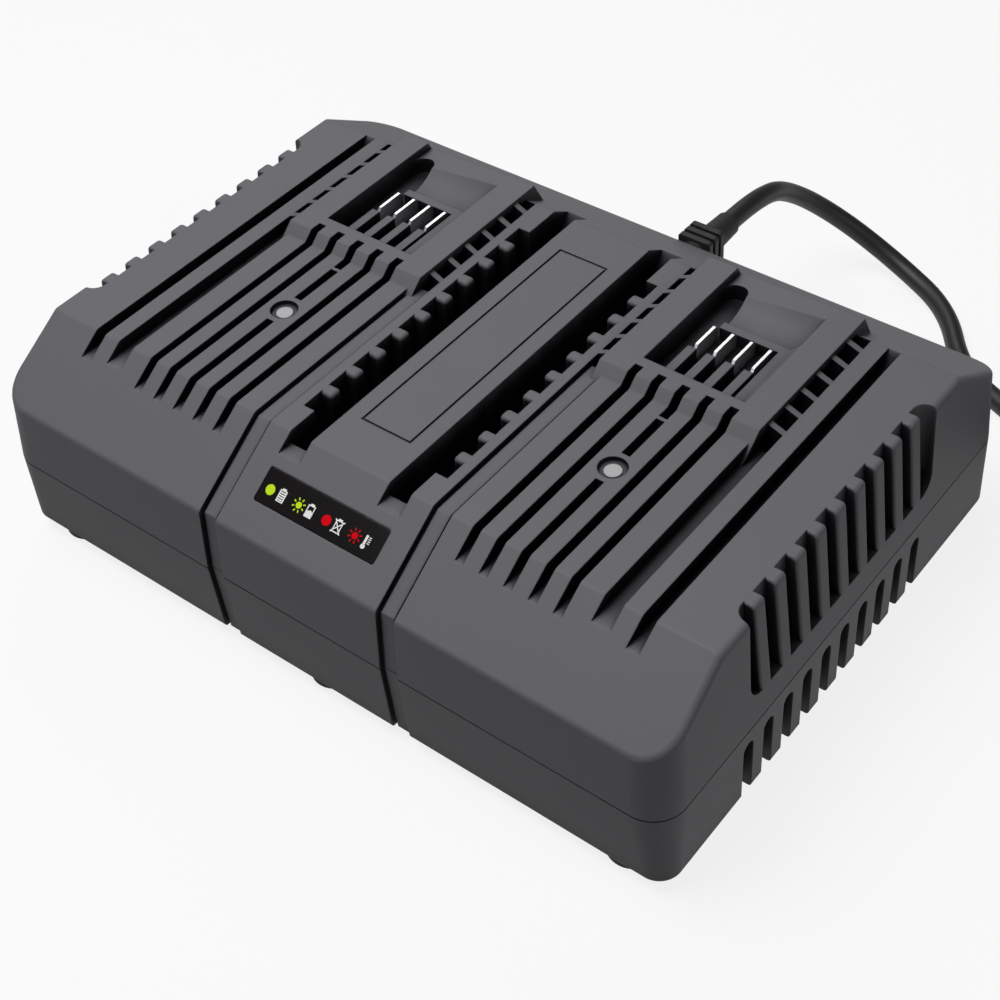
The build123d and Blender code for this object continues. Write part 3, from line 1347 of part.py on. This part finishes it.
entry_face = coil_tangent(coil_entry_turn, cord_rest, -entry_stub)
exit_face = coil_tangent(coil_exit_turn, top_layer, exit_stub)
cord_route = [
    Vector(cord_x, boot_end, cord_height),
    Vector(cord_x, 136.5, cord_height),
    Vector(10.5, 159, 36.5),
    Vector(23.5, 174.5, 19.5),
    Vector(46.5, 177.5, 6.5),
    Vector(71.5, 167, cord_rest),
    coil_tangent(coil_entry_turn, cord_rest, -entry_stub - cord_last_run),
    entry_face,
]
arc_share = 0.45
cord_radii = []
for before, here, after in zip(cord_route, cord_route[1:], cord_route[2:]):
    half_turn = math.radians((here - before).get_angle(after - here)) / 2
    shorter = min((here - before).length, (after - here).length)
    cord_radii.append(arc_share * shorter / math.tan(half_turn))
print("cord radii", [round(radius, 1) for radius in cord_radii])
with BuildPart() as mains_lead:
    with BuildLine() as route:
        FilletPolyline(*cord_route, radius=cord_radii)
    with BuildSketch(Plane(origin=cord_route[0], z_dir=cord_route[1] - cord_route[0])):
        Circle(cord_diameter / 2)
    sweep(path=route.line)
tube_length = route.wire().length
tube_section = math.pi * cord_diameter**2 / 4
print("cord tube length", round(tube_length, 1), "volume share", mains_lead.part.volume / (tube_length * tube_section))
finish(mains_lead, "mains_lead")

with BuildPart() as cord_coil:
    with BuildSketch(Plane.XZ) as coil_section:
        coil_section_width = cord_diameter * coil_columns + 2 * coil_margin
        coil_section_height = cord_diameter * coil_layers + coil_margin
        with Locations((coil_radius, coil_section_height / 2)):
            RectangleRounded(coil_section_width, coil_section_height, coil_edge)
    revolve(axis=Axis.Z)
    coil_ring = cord_coil.part.moved(Location((coil_centre[0], coil_centre[1], 0)))
with BuildPart() as coil_with_ends:
    add(coil_ring)
    for face, turn, way, stub in (
        (entry_face, coil_entry_turn, 1, entry_stub),
        (exit_face, coil_exit_turn, -1, exit_stub),
    ):
        tangent = Vector(-math.sin(math.radians(turn)), math.cos(math.radians(turn)), 0)
        with BuildSketch(Plane(origin=face, z_dir=tangent * way)):
            Circle(cord_diameter / 2)
        extrude(amount=stub)
finish(coil_with_ends, "cord_coil")

plug_tangent = Vector(-math.sin(math.radians(coil_exit_turn)), math.cos(math.radians(coil_exit_turn)), 0)
plug_plane = Plane(origin=exit_face, x_dir=plug_tangent.cross(Vector(0, 0, 1)), z_dir=plug_tangent)
with BuildPart() as plug_body:
    with BuildSketch(plug_plane):
        Circle(cord_diameter / 2 + plug_collar)
    with BuildSketch(plug_plane.offset(plug_taper)):
        RectangleRounded(plug_width - plug_step, plug_thickness - plug_step, plug_round)
    loft()
    with BuildSketch(plug_plane.offset(plug_taper)):
        RectangleRounded(plug_width, plug_thickness, plug_round)
    extrude(amount=plug_length - plug_taper)
    fillet(plug_body.faces().sort_by(Axis(plug_plane.origin, plug_plane.z_dir))[-1].edges(), plug_end_round)
finish(plug_body, "plug_body")

with BuildPart() as plug_pins:
    with BuildSketch(plug_plane.offset(plug_length)):
        with Locations((-pin_spacing / 2, 0), (pin_spacing / 2, 0)):
            Rectangle(pin_size[1], pin_size[2])
    extrude(amount=pin_size[0])
finish(plug_pins, "plug_pins")
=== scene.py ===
import math

import bmesh
import bpy
from mathutils import Matrix, Vector


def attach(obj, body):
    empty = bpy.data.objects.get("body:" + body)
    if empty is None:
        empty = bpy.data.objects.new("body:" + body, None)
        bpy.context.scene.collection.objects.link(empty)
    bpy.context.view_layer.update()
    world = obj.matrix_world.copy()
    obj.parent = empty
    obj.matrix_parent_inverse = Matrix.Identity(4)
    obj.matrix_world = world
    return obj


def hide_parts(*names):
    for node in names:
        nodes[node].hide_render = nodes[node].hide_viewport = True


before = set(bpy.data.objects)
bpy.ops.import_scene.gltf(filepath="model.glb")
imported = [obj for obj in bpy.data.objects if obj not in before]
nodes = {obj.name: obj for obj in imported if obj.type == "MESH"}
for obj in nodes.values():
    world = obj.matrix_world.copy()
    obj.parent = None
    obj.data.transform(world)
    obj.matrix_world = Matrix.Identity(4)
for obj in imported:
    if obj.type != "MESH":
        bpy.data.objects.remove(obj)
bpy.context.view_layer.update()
scene = bpy.context.scene

# ---------------------------------------------------------------- camera
# A short telephoto on a tripod, high over the front right-hand corner of the charger.
# Its frame is shifted a little, so that the charger fills the picture evenly.
camera = bpy.data.objects.new("camera", bpy.data.cameras.new("camera"))
scene.collection.objects.link(camera)
scene.camera = camera
camera.data.sensor_width = 36.0
camera.data.lens = 65.85
camera.data.shift_x = -0.020
camera.data.shift_y = -0.060
camera.data.clip_start, camera.data.clip_end = 0.02, 20.0
to_right = Vector((0.793693, 0.606338, -0.049053))
to_top = Vector((-0.385950, 0.564250, 0.729839))
to_camera = to_right.cross(to_top)
camera.matrix_world = Matrix((to_right, to_top, to_camera)).transposed().to_4x4()
camera.location = (0.275221, -0.317973, 0.423023)
scene.view_settings.view_transform = "Standard"


# ---------------------------------------------------------------- mains cord
# A round two-core cord in a smooth black PVC jacket, 7 mm thick and 1.5 m long, moulded to its plug.
# It drops out of the boot to the bench, and its spare length is wound into a neat coil behind the charger.
class Shade:
    """A socket in a material's nodes. Arithmetic on it adds Math nodes, and node() adds any other node."""

    def __init__(self, tree, socket=None):
        self.tree, self.socket = tree, socket

    def node(self, kind, settings, inputs, out=0):
        """Adds a node with these settings and these values or links on its inputs, and gives that output of it."""
        made = self.tree.nodes.new(kind)
        for name, value in settings.items():
            setattr(made, name, value)
        for name, value in inputs.items():
            if isinstance(value, Shade):
                self.tree.links.new(value.socket, made.inputs[name])
            else:
                made.inputs[name].default_value = value
        return Shade(self.tree, made.outputs[out]) if len(made.outputs) else None

    def maths(self, operation, *values):
        return self.node("ShaderNodeMath", {"operation": operation}, dict(enumerate(values)))

    def __add__(self, other):
        return self.maths("ADD", self, other)

    def __mul__(self, other):
        return self.maths("MULTIPLY", self, other)

    __radd__, __rmul__ = __add__, __mul__

    def step(self, start, end):
        """0 below start and 1 above end, with a smooth rise between them."""
        return self.node("ShaderNodeMapRange", {"interpolation_type": "SMOOTHSTEP"},
                         {"Value": self, "From Min": start, "From Max": end})

    def mix(self, first, second):
        """Colour that is first where this is 0 and second where it is 1."""
        factor, first_colour, second_colour, colour_out = 0, 6, 7, 2
        return self.node("ShaderNodeMix", {"data_type": "RGBA"},
                         {factor: self, first_colour: first, second_colour: second}, out=colour_out)


def material(name):
    """An empty material and its first Shade, the place on the piece in metres."""
    made = bpy.data.materials.new(name)
    made.use_nodes = True
    made.node_tree.nodes.clear()
    return made, Shade(made.node_tree).node("ShaderNodeTexCoord", {}, {}, out="Object")


def grain(place, size, detail=2.0):
    """Soft random grain of that size in metres, from 0 to 1."""
    return place.node("ShaderNodeTexNoise", {},
                      {"Vector": place, "Scale": 1 / size, "Detail": detail, "Roughness": 0.55})


def surface(place, inputs):
    """Ends a material in a Principled shader with these inputs."""
    shader = place.node("ShaderNodeBsdfPrincipled", {}, inputs)
    place.node("ShaderNodeOutputMaterial", {}, {"Surface": shader})


def relief(place, height, distance, edge=None):
    """Bump of that height in metres, over edges rounded to the radius edge."""
    inputs = {"Height": height, "Distance": distance, "Strength": 1.0}
    if edge:
        inputs["Normal"] = place.node("ShaderNodeBevel", {"samples": 6}, {"Radius": edge})
    return place.node("ShaderNodeBump", {}, inputs)


def dress(piece, finish):
    """Gives a piece one material all over."""
    piece.data.materials.clear()
    piece.data.materials.append(finish)


cord_jacket, place = material("cord_jacket")
fine = grain(place, 0.0006)
surface(place, {
    "Base Color": grain(place, 0.05).mix((0.016, 0.016, 0.018, 1), (0.024, 0.024, 0.027, 1)),
    "Roughness": 0.42 + 0.12 * fine,
    "Normal": relief(place, fine, 0.00004),
})

cord_diameter = 0.007
boot_height = 0.050
bench_height = 0.0037  # of the cord's middle where it lies on the bench
upper_height = bench_height + cord_diameter
coil_middle = Vector((0.160, 0.162))
turn_radii = [0.047, 0.040, 0.033, 0.033, 0.040, 0.047]  # inwards on the bench, and outwards again on top
coil_turns = 5.23
first_angle = math.radians(247)
points_per_turn = 16
shift_start, shift_length = 0.72, 0.28  # part of each turn in which it moves over to the next turn's radius
climb_start, climb_length = 2.45, 0.25  # turns at which it rises to the upper layer


def coil_point(turn):
    """Point of the coil's winding after that many turns."""
    index = min(int(turn), len(turn_radii) - 2)
    shift = max(0.0, min(1.0, (turn - index - shift_start) / shift_length))
    radius = turn_radii[index] + (turn_radii[index + 1] - turn_radii[index]) * shift
    climb = max(0.0, min(1.0, (turn - climb_start) / climb_length))
    # the cord runs a little inside its points, so these lie as much further out
    spread = radius / (0.75 + 0.25 * math.cos(2 * math.pi / points_per_turn))
    angle = first_angle + 2 * math.pi * turn
    flat = coil_middle + spread * Vector((math.cos(angle), math.sin(angle)))
    return (flat.x, flat.y, bench_height + (upper_height - bench_height) * climb)


def along_tangent(turn, height, reach):
    """Point that far along the coil's outer tangent at that turn."""
    angle = first_angle + 2 * math.pi * turn
    flat = coil_middle + turn_radii[0] * Vector((math.cos(angle), math.sin(angle)))
    flat += reach * Vector((-math.sin(angle), math.cos(angle)))
    return (flat.x, flat.y, height)


cord_route = [
    (0.0110, 0.1140, boot_height),
    (0.0110, 0.1365, boot_height),
    (0.0105, 0.1590, 0.0365),
    (0.0235, 0.1745, 0.0195),
    (0.0465, 0.1775, 0.0065),
    (0.0715, 0.1670, bench_height),
    along_tangent(0, bench_height, -0.056),
    along_tangent(0, bench_height, -0.031),
    along_tangent(0, bench_height, -0.011),
]
cord_route += [coil_point((step + 0.5) / points_per_turn) for step in range(int(coil_turns * points_per_turn))]
cord_route += [along_tangent(coil_turns, 0.0106, 0.012), along_tangent(coil_turns, 0.0105, 0.031)]

cord_line = bpy.data.curves.new("mains_cord", "CURVE")
cord_line.dimensions = "3D"
cord_line.bevel_depth = cord_diameter / 2
cord_line.bevel_resolution = 7
cord_line.resolution_u = 10
cord_line.use_fill_caps = True
spline = cord_line.splines.new("NURBS")
spline.points.add(len(cord_route) - 1)
for point, place_on_route in zip(spline.points, cord_route):
    point.co = (*place_on_route, 1.0)
spline.order_u = 3
spline.use_endpoint_u = True
mains_cord = bpy.data.objects.new("mains_cord", cord_line)
scene.collection.objects.link(mains_cord)
dress(mains_cord, cord_jacket)
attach(mains_cord, "root")
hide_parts("mains_lead", "cord_coil")
dress(nodes["mains_lead_inner"], cord_jacket)

# ---------------------------------------------------------------- plug and boot
# The plug and the ribbed boot are moulded onto the cord in soft black PVC with a dull, slightly pebbled skin.
# The two flat pins are nickel-plated brass, pressed into the plug before it is moulded.
soft_rubber, place = material("soft_rubber")
pebble = grain(place, 0.0005)
surface(place, {
    "Base Color": grain(place, 0.02).mix((0.017, 0.017, 0.019, 1), (0.028, 0.028, 0.031, 1)),
    "Roughness": 0.5 + 0.15 * pebble,
    "Normal": relief(place, pebble, 0.00006, edge=0.0005),
})
dress(nodes["strain_relief"], soft_rubber)
dress(nodes["plug_body"], soft_rubber)


def drawn_streaks(place, stretch):
    """Fine streaks along Y, as rolling and drawing leave them on strip metal."""
    along = place.node("ShaderNodeMapping", {}, {"Vector": place, "Scale": (1.0, stretch, 1.0)})
    return grain(along, 0.0003)


plated_metal, place = material("plated_metal")
streaks = drawn_streaks(place, 0.08)
surface(place, {
    "Base Color": grain(place, 0.004).mix((0.72, 0.72, 0.73, 1), (0.86, 0.86, 0.87, 1)),
    "Metallic": 1.0,
    "Roughness": 0.26 + 0.14 * streaks,
    "Normal": relief(place, streaks, 0.00001, edge=0.0002),
})
dress(nodes["plug_pins"], plated_metal)

# ---------------------------------------------------------------- upper cover
# An injection-moulded shell in mid-grey glass-filled nylon with a fine spark-eroded texture, screwed down from below.
# The walls of its grooves and pockets carry painted shade, nearly black, and the more so the deeper they lie.
painted_groove_shade = (0.006, 0.006, 0.009, 1)
sheltered, free = 0.46, 0.96  # shares of open air at which the painted shade is at its darkest and at which it is gone


def moulded_nylon(name, pale, rounding, reach):
    """Grey nylon with a spark-eroded texture, with painted shade where little is free within that reach."""
    made, place = material(name)
    spark = grain(place, 0.00045, 3.0)
    patches = grain(place, 0.06, 3.0)
    face = patches.mix([0.96 * part for part in pale] + [1], [1.04 * part for part in pale] + [1])
    # painted shade: the colour runs to nearly black where little open air lies within that reach
    openness = place.node("ShaderNodeAmbientOcclusion", {"samples": 8}, {"Distance": reach}, out="AO")
    surface(place, {
        "Base Color": openness.step(sheltered, free).mix(painted_groove_shade, face),
        "Roughness": 0.52 + 0.12 * spark,
        "Specular IOR Level": 0.3,
        "Normal": relief(place, spark, 0.00003, edge=rounding),
    })
    return made


case_grey = (0.150, 0.150, 0.163)
case_rounding, case_shade_reach = 0.0007, 0.016
dress(nodes["top_cover"], moulded_nylon("cover_plastic", case_grey, case_rounding, case_shade_reach))

# ---------------------------------------------------------------- lower case
# The tray under the cover, moulded in the same grey nylon, with slots in its sides for cooling air.
# A tongue round its rim locates the cover at the parting line.
# Its slots and recesses get the same painted shade as the cover.
dress(nodes["bottom_case"], moulded_nylon("case_plastic", case_grey, case_rounding, case_shade_reach))

# ---------------------------------------------------------------- feet
# Six soft buttons of black rubber with a dull, pebbled skin, which keep the charger from sliding on a bench.
# Each is pulled through a hole in the tray by its stem.
foot_rubber, place = material("foot_rubber")
pebble = grain(place, 0.0006)
surface(place, {
    "Base Color": grain(place, 0.01).mix((0.020, 0.020, 0.021, 1), (0.032, 0.032, 0.034, 1)),
    "Roughness": 0.68 + 0.15 * pebble,
    "Normal": relief(place, pebble, 0.00008, edge=0.0005),
})
dress(nodes["rubber_feet"], foot_rubber)

# ---------------------------------------------------------------- display window
# A black gloss acrylic lens, glued into its seat in the front slope, over four lamps that say how the packs charge.
# Beside each lamp stands a white symbol. Lamps that blink show as a small sun, the others as a dot.
window_black, place = material("window_black")
cloud = grain(place, 0.012)
surface(place, {
    "Base Color": cloud.mix((0.006, 0.0045, 0.0045, 1), (0.011, 0.009, 0.009, 1)),
    "Roughness": 0.16 + 0.05 * grain(place, 0.0008),
    "Coat Weight": 0.4,
    "Normal": relief(place, cloud, 0.00004, edge=0.0003),
})
dress(nodes["display_window"], window_black)

slope_rise, slope_run = 0.0183, 0.0274
deck_edge, deck_height = -0.064, 0.073  # where the front slope meets the deck
down_slope = 0.0169  # from there to the window's middle
print_depth = 0.00006  # of the symbols under the face of the slope
slope_angle = math.atan2(slope_rise, slope_run)
slope_up = Vector((0, math.cos(slope_angle), math.sin(slope_angle)))
slope_out = Vector((0, -math.sin(slope_angle), math.cos(slope_angle)))
window_middle = Vector((0, deck_edge, deck_height)) - slope_up * down_slope


def symbols(name, outlines, finish):
    """Flat printed shapes on the window: each outline is a list of (x, up) points in millimetres."""
    mesh = bmesh.new()
    for outline in outlines:
        mesh.faces.new([mesh.verts.new(window_middle + Vector((x / 1000, 0, 0)) + slope_up * (up / 1000)
                                       - slope_out * print_depth) for x, up in outline])
    bmesh.ops.triangulate(mesh, faces=mesh.faces[:])
    bmesh.ops.recalc_face_normals(mesh, faces=mesh.faces[:])
    for face in mesh.faces:
        if face.normal.dot(slope_out) < 0:
            face.normal_flip()
    data = bpy.data.meshes.new(name)
    mesh.to_mesh(data)
    mesh.free()
    piece = bpy.data.objects.new(name, data)
    scene.collection.objects.link(piece)
    dress(piece, finish)
    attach(piece, "root")


def disc(x, up, radius):
    """Outline of a round dot."""
    sides = 40
    turns = [2 * math.pi * k / sides for k in range(sides)]
    return [(x + radius * math.cos(turn), up + radius * math.sin(turn)) for turn in turns]


def bar(start, end, thickness):
    """Outline of a straight stroke between two points."""
    (ax, ay), (bx, by) = start, end
    run = math.hypot(bx - ax, by - ay)
    nx, ny = -(by - ay) / run * thickness / 2, (bx - ax) / run * thickness / 2
    return [(ax - nx, ay - ny), (bx - nx, by - ny), (bx + nx, by + ny), (ax + nx, ay + ny)]


def sun(x, up):
    """A dot with rays round it, for a lamp that blinks."""
    rays, core, ray_start, ray_end, ray_width = 8, 1.0, 1.45, 2.25, 0.42
    outlines = [disc(x, up, core)]
    for k in range(rays):
        turn = math.pi / 8 + k * math.pi / 4
        outlines.append(bar((x + ray_start * math.cos(turn), up + ray_start * math.sin(turn)),
                            (x + ray_end * math.cos(turn), up + ray_end * math.sin(turn)), ray_width))
    return outlines


def cell(x, up):
    """A battery's outline with its terminal on top."""
    left, right, low, high, line = x - 1.3, x + 1.3, up - 2.0, up + 1.7, 0.36
    terminal, terminal_height = 0.7, 0.45
    return [
        [(left, low), (right, low), (right, low + line), (left, low + line)],
        [(left, high - line), (right, high - line), (right, high), (left, high)],
        [(left, low + line), (left + line, low + line), (left + line, high - line), (left, high - line)],
        [(right - line, low + line), (right, low + line), (right, high - line), (right - line, high - line)],
        [(x - terminal, high), (x + terminal, high), (x + terminal, high + terminal_height),
         (x - terminal, high + terminal_height)],
    ]


def printed(name, colour, glow):
    """A printed symbol with a soft painted glow, as though lit from behind."""
    made, place = material(name)
    surface(place, {
        "Base Color": grain(place, 0.002).mix(colour, [0.88 * part for part in colour[:3]] + [1]),
        "Roughness": 0.35,
        # painted glow: the print gives off a little light in its own colour
        "Emission Color": colour,
        "Emission Strength": glow,
        "Specular IOR Level": 0.0,
    })
    return made


# up the window and along it, in millimetres from its middle
row = -0.7
full_lamp, part_lamp, fault_lamp, heat_lamp = -18.9, -8.0, 2.4, 12.9
full_cell, part_cell, fault_cell, heat_sign = -14.5, -3.8, 6.6, 16.6
steady_dot = 1.6
symbols("symbols_lime", [disc(full_lamp, row, steady_dot)] + sun(part_lamp, row),
        printed("lime_print", (0.50, 0.72, 0.02, 1), 0.25))
symbols("symbols_red", [disc(fault_lamp, row, steady_dot)] + sun(heat_lamp, row),
        printed("red_print", (0.62, 0.005, 0.010, 1), 0.25))

full_bars = [bar((full_cell - 0.95, row + up), (full_cell + 0.95, row + up), 0.42) for up in (-1.25, -0.55, 0.15, 0.85)]
part_fill = ((-1.1, -1.7), (1.1, -1.7), (1.1, -0.3), (0.2, 0.3), (-1.1, -0.3))
cross = [bar((fault_cell - 1.7, row + left), (fault_cell + 1.7, row + right), 0.34)
         for left, right in ((-2.1, 1.8), (1.8, -2.1))]
bulb_and_tube = [disc(heat_sign, row - 1.5, 0.75), bar((heat_sign, row - 1.2), (heat_sign, row + 1.9), 0.8)]
scale_marks = [bar((heat_sign + 0.8, row + up), (heat_sign + 1.6, row + up), 0.28) for up in (-0.3, 0.3, 0.9, 1.5)]
symbols("symbols_white",
        cell(full_cell, row) + full_bars
        + cell(part_cell, row) + [[(part_cell + x, row + up) for x, up in part_fill]]
        + cell(fault_cell, row) + cross
        + bulb_and_tube + scale_marks,
        printed("white_print", (0.80, 0.80, 0.80, 1), 0.2))

# ---------------------------------------------------------------- lamp caps of the bays
# Frosted polycarbonate light pipes that carry the light of the bay lamps up to the deck.
# Each is pressed up through the cover from inside and ends in a flat cap in its round well.
pale_lens, place = material("pale_lens")
haze = grain(place, 0.0012)
surface(place, {
    "Base Color": haze.mix((0.42, 0.42, 0.43, 1), (0.48, 0.48, 0.49, 1)),
    "Roughness": 0.35 + 0.1 * haze,
    "Normal": relief(place, haze, 0.00003, edge=0.0004),
})
dress(nodes["bay_light_pipe_left"], pale_lens)
dress(nodes["bay_light_pipe_right"], pale_lens)

# ---------------------------------------------------------------- contact blocks and blades
# A block of glass-filled nylon in each bay, with slots beside its bars, screwed up against the deck from below.
# Four tin-plated blades are pushed up through it, and a pack's terminals slide over them.
# The block's slots get painted shade too, within a shorter reach.
block_plastic = moulded_nylon("block_plastic", (0.140, 0.140, 0.152), 0.0004, 0.009)
blade_metal, place = material("blade_metal")
drawn = drawn_streaks(place, 0.1)
surface(place, {
    "Base Color": grain(place, 0.003).mix((0.84, 0.84, 0.85, 1), (0.93, 0.93, 0.94, 1)),
    "Metallic": 0.92,
    "Roughness": 0.26 + 0.10 * drawn,
    "Normal": relief(place, drawn, 0.00001, edge=0.0002),
})
for side in ("left", "right"):
    dress(nodes["terminal_block_" + side], block_plastic)
    dress(nodes["terminal_blades_" + side], blade_metal)

# ---------------------------------------------------------------- screws
# Zinc-plated steel screws for the case, the contact blocks, the two boards and the cord's clamp.
# All are driven from below or from inside, so none shows on top.
screw_steel, place = material("screw_steel")
wear = grain(place, 0.0009)
surface(place, {
    "Base Color": wear.mix((0.42, 0.42, 0.43, 1), (0.58, 0.58, 0.60, 1)),
    "Metallic": 1.0,
    "Roughness": 0.32 + 0.2 * wear,
    "Normal": relief(place, wear, 0.00003, edge=0.0002),
})
for name in ("case_screws", "terminal_screws", "display_screws", "board_screws", "clamp_screws"):
    dress(nodes[name], screw_steel)

# ---------------------------------------------------------------- circuit boards
# Glass-epoxy sheets with copper tracks under green solder mask, which show through it as paler patches.
# The main board stands on posts in the tray, and the small one hangs behind the display window.
board_green, place = material("board_green")
tracks = place.node("ShaderNodeTexVoronoi", {"distance": "CHEBYCHEV"}, {"Vector": place, "Scale": 260.0})
surface(place, {
    "Base Color": tracks.step(0.35, 0.4).mix((0.020, 0.120, 0.040, 1), (0.030, 0.170, 0.060, 1)),
    "Roughness": 0.38,
    "Normal": relief(place, tracks, 0.00004),
})
dress(nodes["main_board"], board_green)
dress(nodes["display_board"], board_green)


# ---------------------------------------------------------------- parts on the boards
# Bought-in parts, soldered to the boards or wired to them, and the sinks that cool the transistors.
# Each keeps the usual colour and finish of its kind, without any printing.
def plain_part(name, low, high, roughness, size, metallic=0.0):
    """A part's own material: two close tones in soft patches, with a little grain."""
    made, place = material(name)
    patches = grain(place, size)
    surface(place, {
        "Base Color": patches.mix((*low, 1), (*high, 1)),
        "Metallic": metallic,
        "Roughness": roughness + 0.1 * patches,
        "Normal": relief(place, patches, 0.00004, edge=0.0003),
    })
    return made


for finish, names in (
    (plain_part("ferrite", (0.045, 0.045, 0.050), (0.060, 0.060, 0.066), 0.6, 0.0008),
     ("transformer_core", "input_choke_core")),
    (plain_part("winding_tape", (0.68, 0.50, 0.06), (0.78, 0.60, 0.10), 0.25, 0.003), ("transformer_winding",)),
    (plain_part("copper", (0.62, 0.25, 0.09), (0.76, 0.35, 0.16), 0.25, 0.001, 1.0), ("input_choke_winding",)),
    (plain_part("can_sleeve", (0.014, 0.016, 0.026), (0.022, 0.024, 0.036), 0.25, 0.004),
     ("bulk_capacitors", "output_capacitors")),
    (plain_part("box_yellow", (0.66, 0.46, 0.04), (0.76, 0.56, 0.07), 0.3, 0.004), ("filter_capacitor",)),
    (plain_part("package_black", (0.016, 0.016, 0.017), (0.024, 0.024, 0.025), 0.5, 0.0006),
     ("bridge_rectifier", "power_transistors")),
    (plain_part("fuse_glass", (0.60, 0.66, 0.66), (0.70, 0.76, 0.76), 0.08, 0.004), ("fuse",)),
    (plain_part("sink_aluminium", (0.52, 0.52, 0.54), (0.64, 0.64, 0.66), 0.35, 0.002, 1.0),
     ("heat_sink_left", "heat_sink_right")),
    (plain_part("lead_jacket", (0.32, 0.012, 0.012), (0.40, 0.022, 0.020), 0.35, 0.004),
     ("output_leads_left", "output_leads_right", "mains_wires")),
    (plain_part("bobbin_plastic", (0.05, 0.05, 0.055), (0.07, 0.07, 0.075), 0.5, 0.001),
     ("transformer_bobbin", "cord_clamp")),
    (plain_part("clear_plastic", (0.72, 0.72, 0.70), (0.80, 0.80, 0.78), 0.2, 0.002), ("display_light_guide",)),
    (plain_part("lamp_lens", (0.80, 0.80, 0.72), (0.88, 0.88, 0.80), 0.2, 0.001), ("display_lamps", "bay_lamps")),
    (plated_metal, ("fuse_clips",)),
):
    for name in names:
        dress(nodes[name], finish)

# ---------------------------------------------------------------- floor and light
# A seamless white sheet that takes a faint shadow of the charger and throws little light back up at its sides.
# Three square soft boxes light it, from above the front left, from the right and from the rear left.
sheet_reach = 6.0
floor_mesh = bmesh.new()
for x, y in ((-1, -1), (1, -1), (1, 1), (-1, 1)):
    floor_mesh.verts.new((x * sheet_reach, y * sheet_reach, 0.0))
floor_mesh.faces.new(floor_mesh.verts)
floor_data = bpy.data.meshes.new("floor")
floor_mesh.to_mesh(floor_data)
floor_mesh.free()
floor = bpy.data.objects.new("floor", floor_data)
scene.collection.objects.link(floor)


def kind_of_ray(tree, kind):
    """1 for rays of that kind and 0 for all others."""
    return Shade(tree).node("ShaderNodeLightPath", {}, {}, out=kind)


white_sheet, place = material("white_sheet")
seen = kind_of_ray(place.tree, "Is Camera Ray")
mirrored = kind_of_ray(place.tree, "Is Glossy Ray")
passed = kind_of_ray(place.tree, "Is Transmission Ray")
bright = place.node("ShaderNodeEmission", {}, {"Color": (1, 1, 1, 1), "Strength": 1.0})
paper = place.node("ShaderNodeBsdfDiffuse", {}, {"Color": seen.mix((0.10, 0.10, 0.10, 1), (0.90, 0.90, 0.90, 1))})
white_share = 0.84 * place.maths("MINIMUM", seen + mirrored + passed, 1.0)
sheet = place.node("ShaderNodeMixShader", {}, {0: white_share, 1: paper, 2: bright})
place.node("ShaderNodeOutputMaterial", {}, {"Surface": sheet})
dress(floor, white_sheet)

world = bpy.data.worlds.new("studio")
scene.world = world
world.use_nodes = True
world.node_tree.nodes.clear()
sky = Shade(world.node_tree)
seen = kind_of_ray(world.node_tree, "Is Camera Ray")
room = sky.node("ShaderNodeBackground", {}, {"Color": (0.45, 0.45, 0.47, 1), "Strength": 0.035})
white = sky.node("ShaderNodeBackground", {}, {"Color": (1, 1, 1, 1), "Strength": 1.0})
sky.node("ShaderNodeOutputWorld", {}, {"Surface": sky.node("ShaderNodeMixShader", {}, {0: seen, 1: room, 2: white})})

lit_point = Vector((0, 0, 0.05))
for name, spot, size, power in (
    ("overhead_softbox", (-0.28, -0.235, 1.13), 0.7, 10.6),
    ("right_softbox", (1.2, 0.1, 0.60), 0.8, 2.1),
    ("rear_softbox", (-0.80, 0.95, 1.05), 0.6, 3.5),
):
    lamp = bpy.data.lights.new(name, "AREA")
    lamp.shape, lamp.size, lamp.energy = "SQUARE", size, power
    softbox = bpy.data.objects.new(name, lamp)
    scene.collection.objects.link(softbox)
    softbox.location = spot
    softbox.rotation_mode = "QUATERNION"
    softbox.rotation_quaternion = (Vector(spot) - lit_point).to_track_quat("Z", "Y")
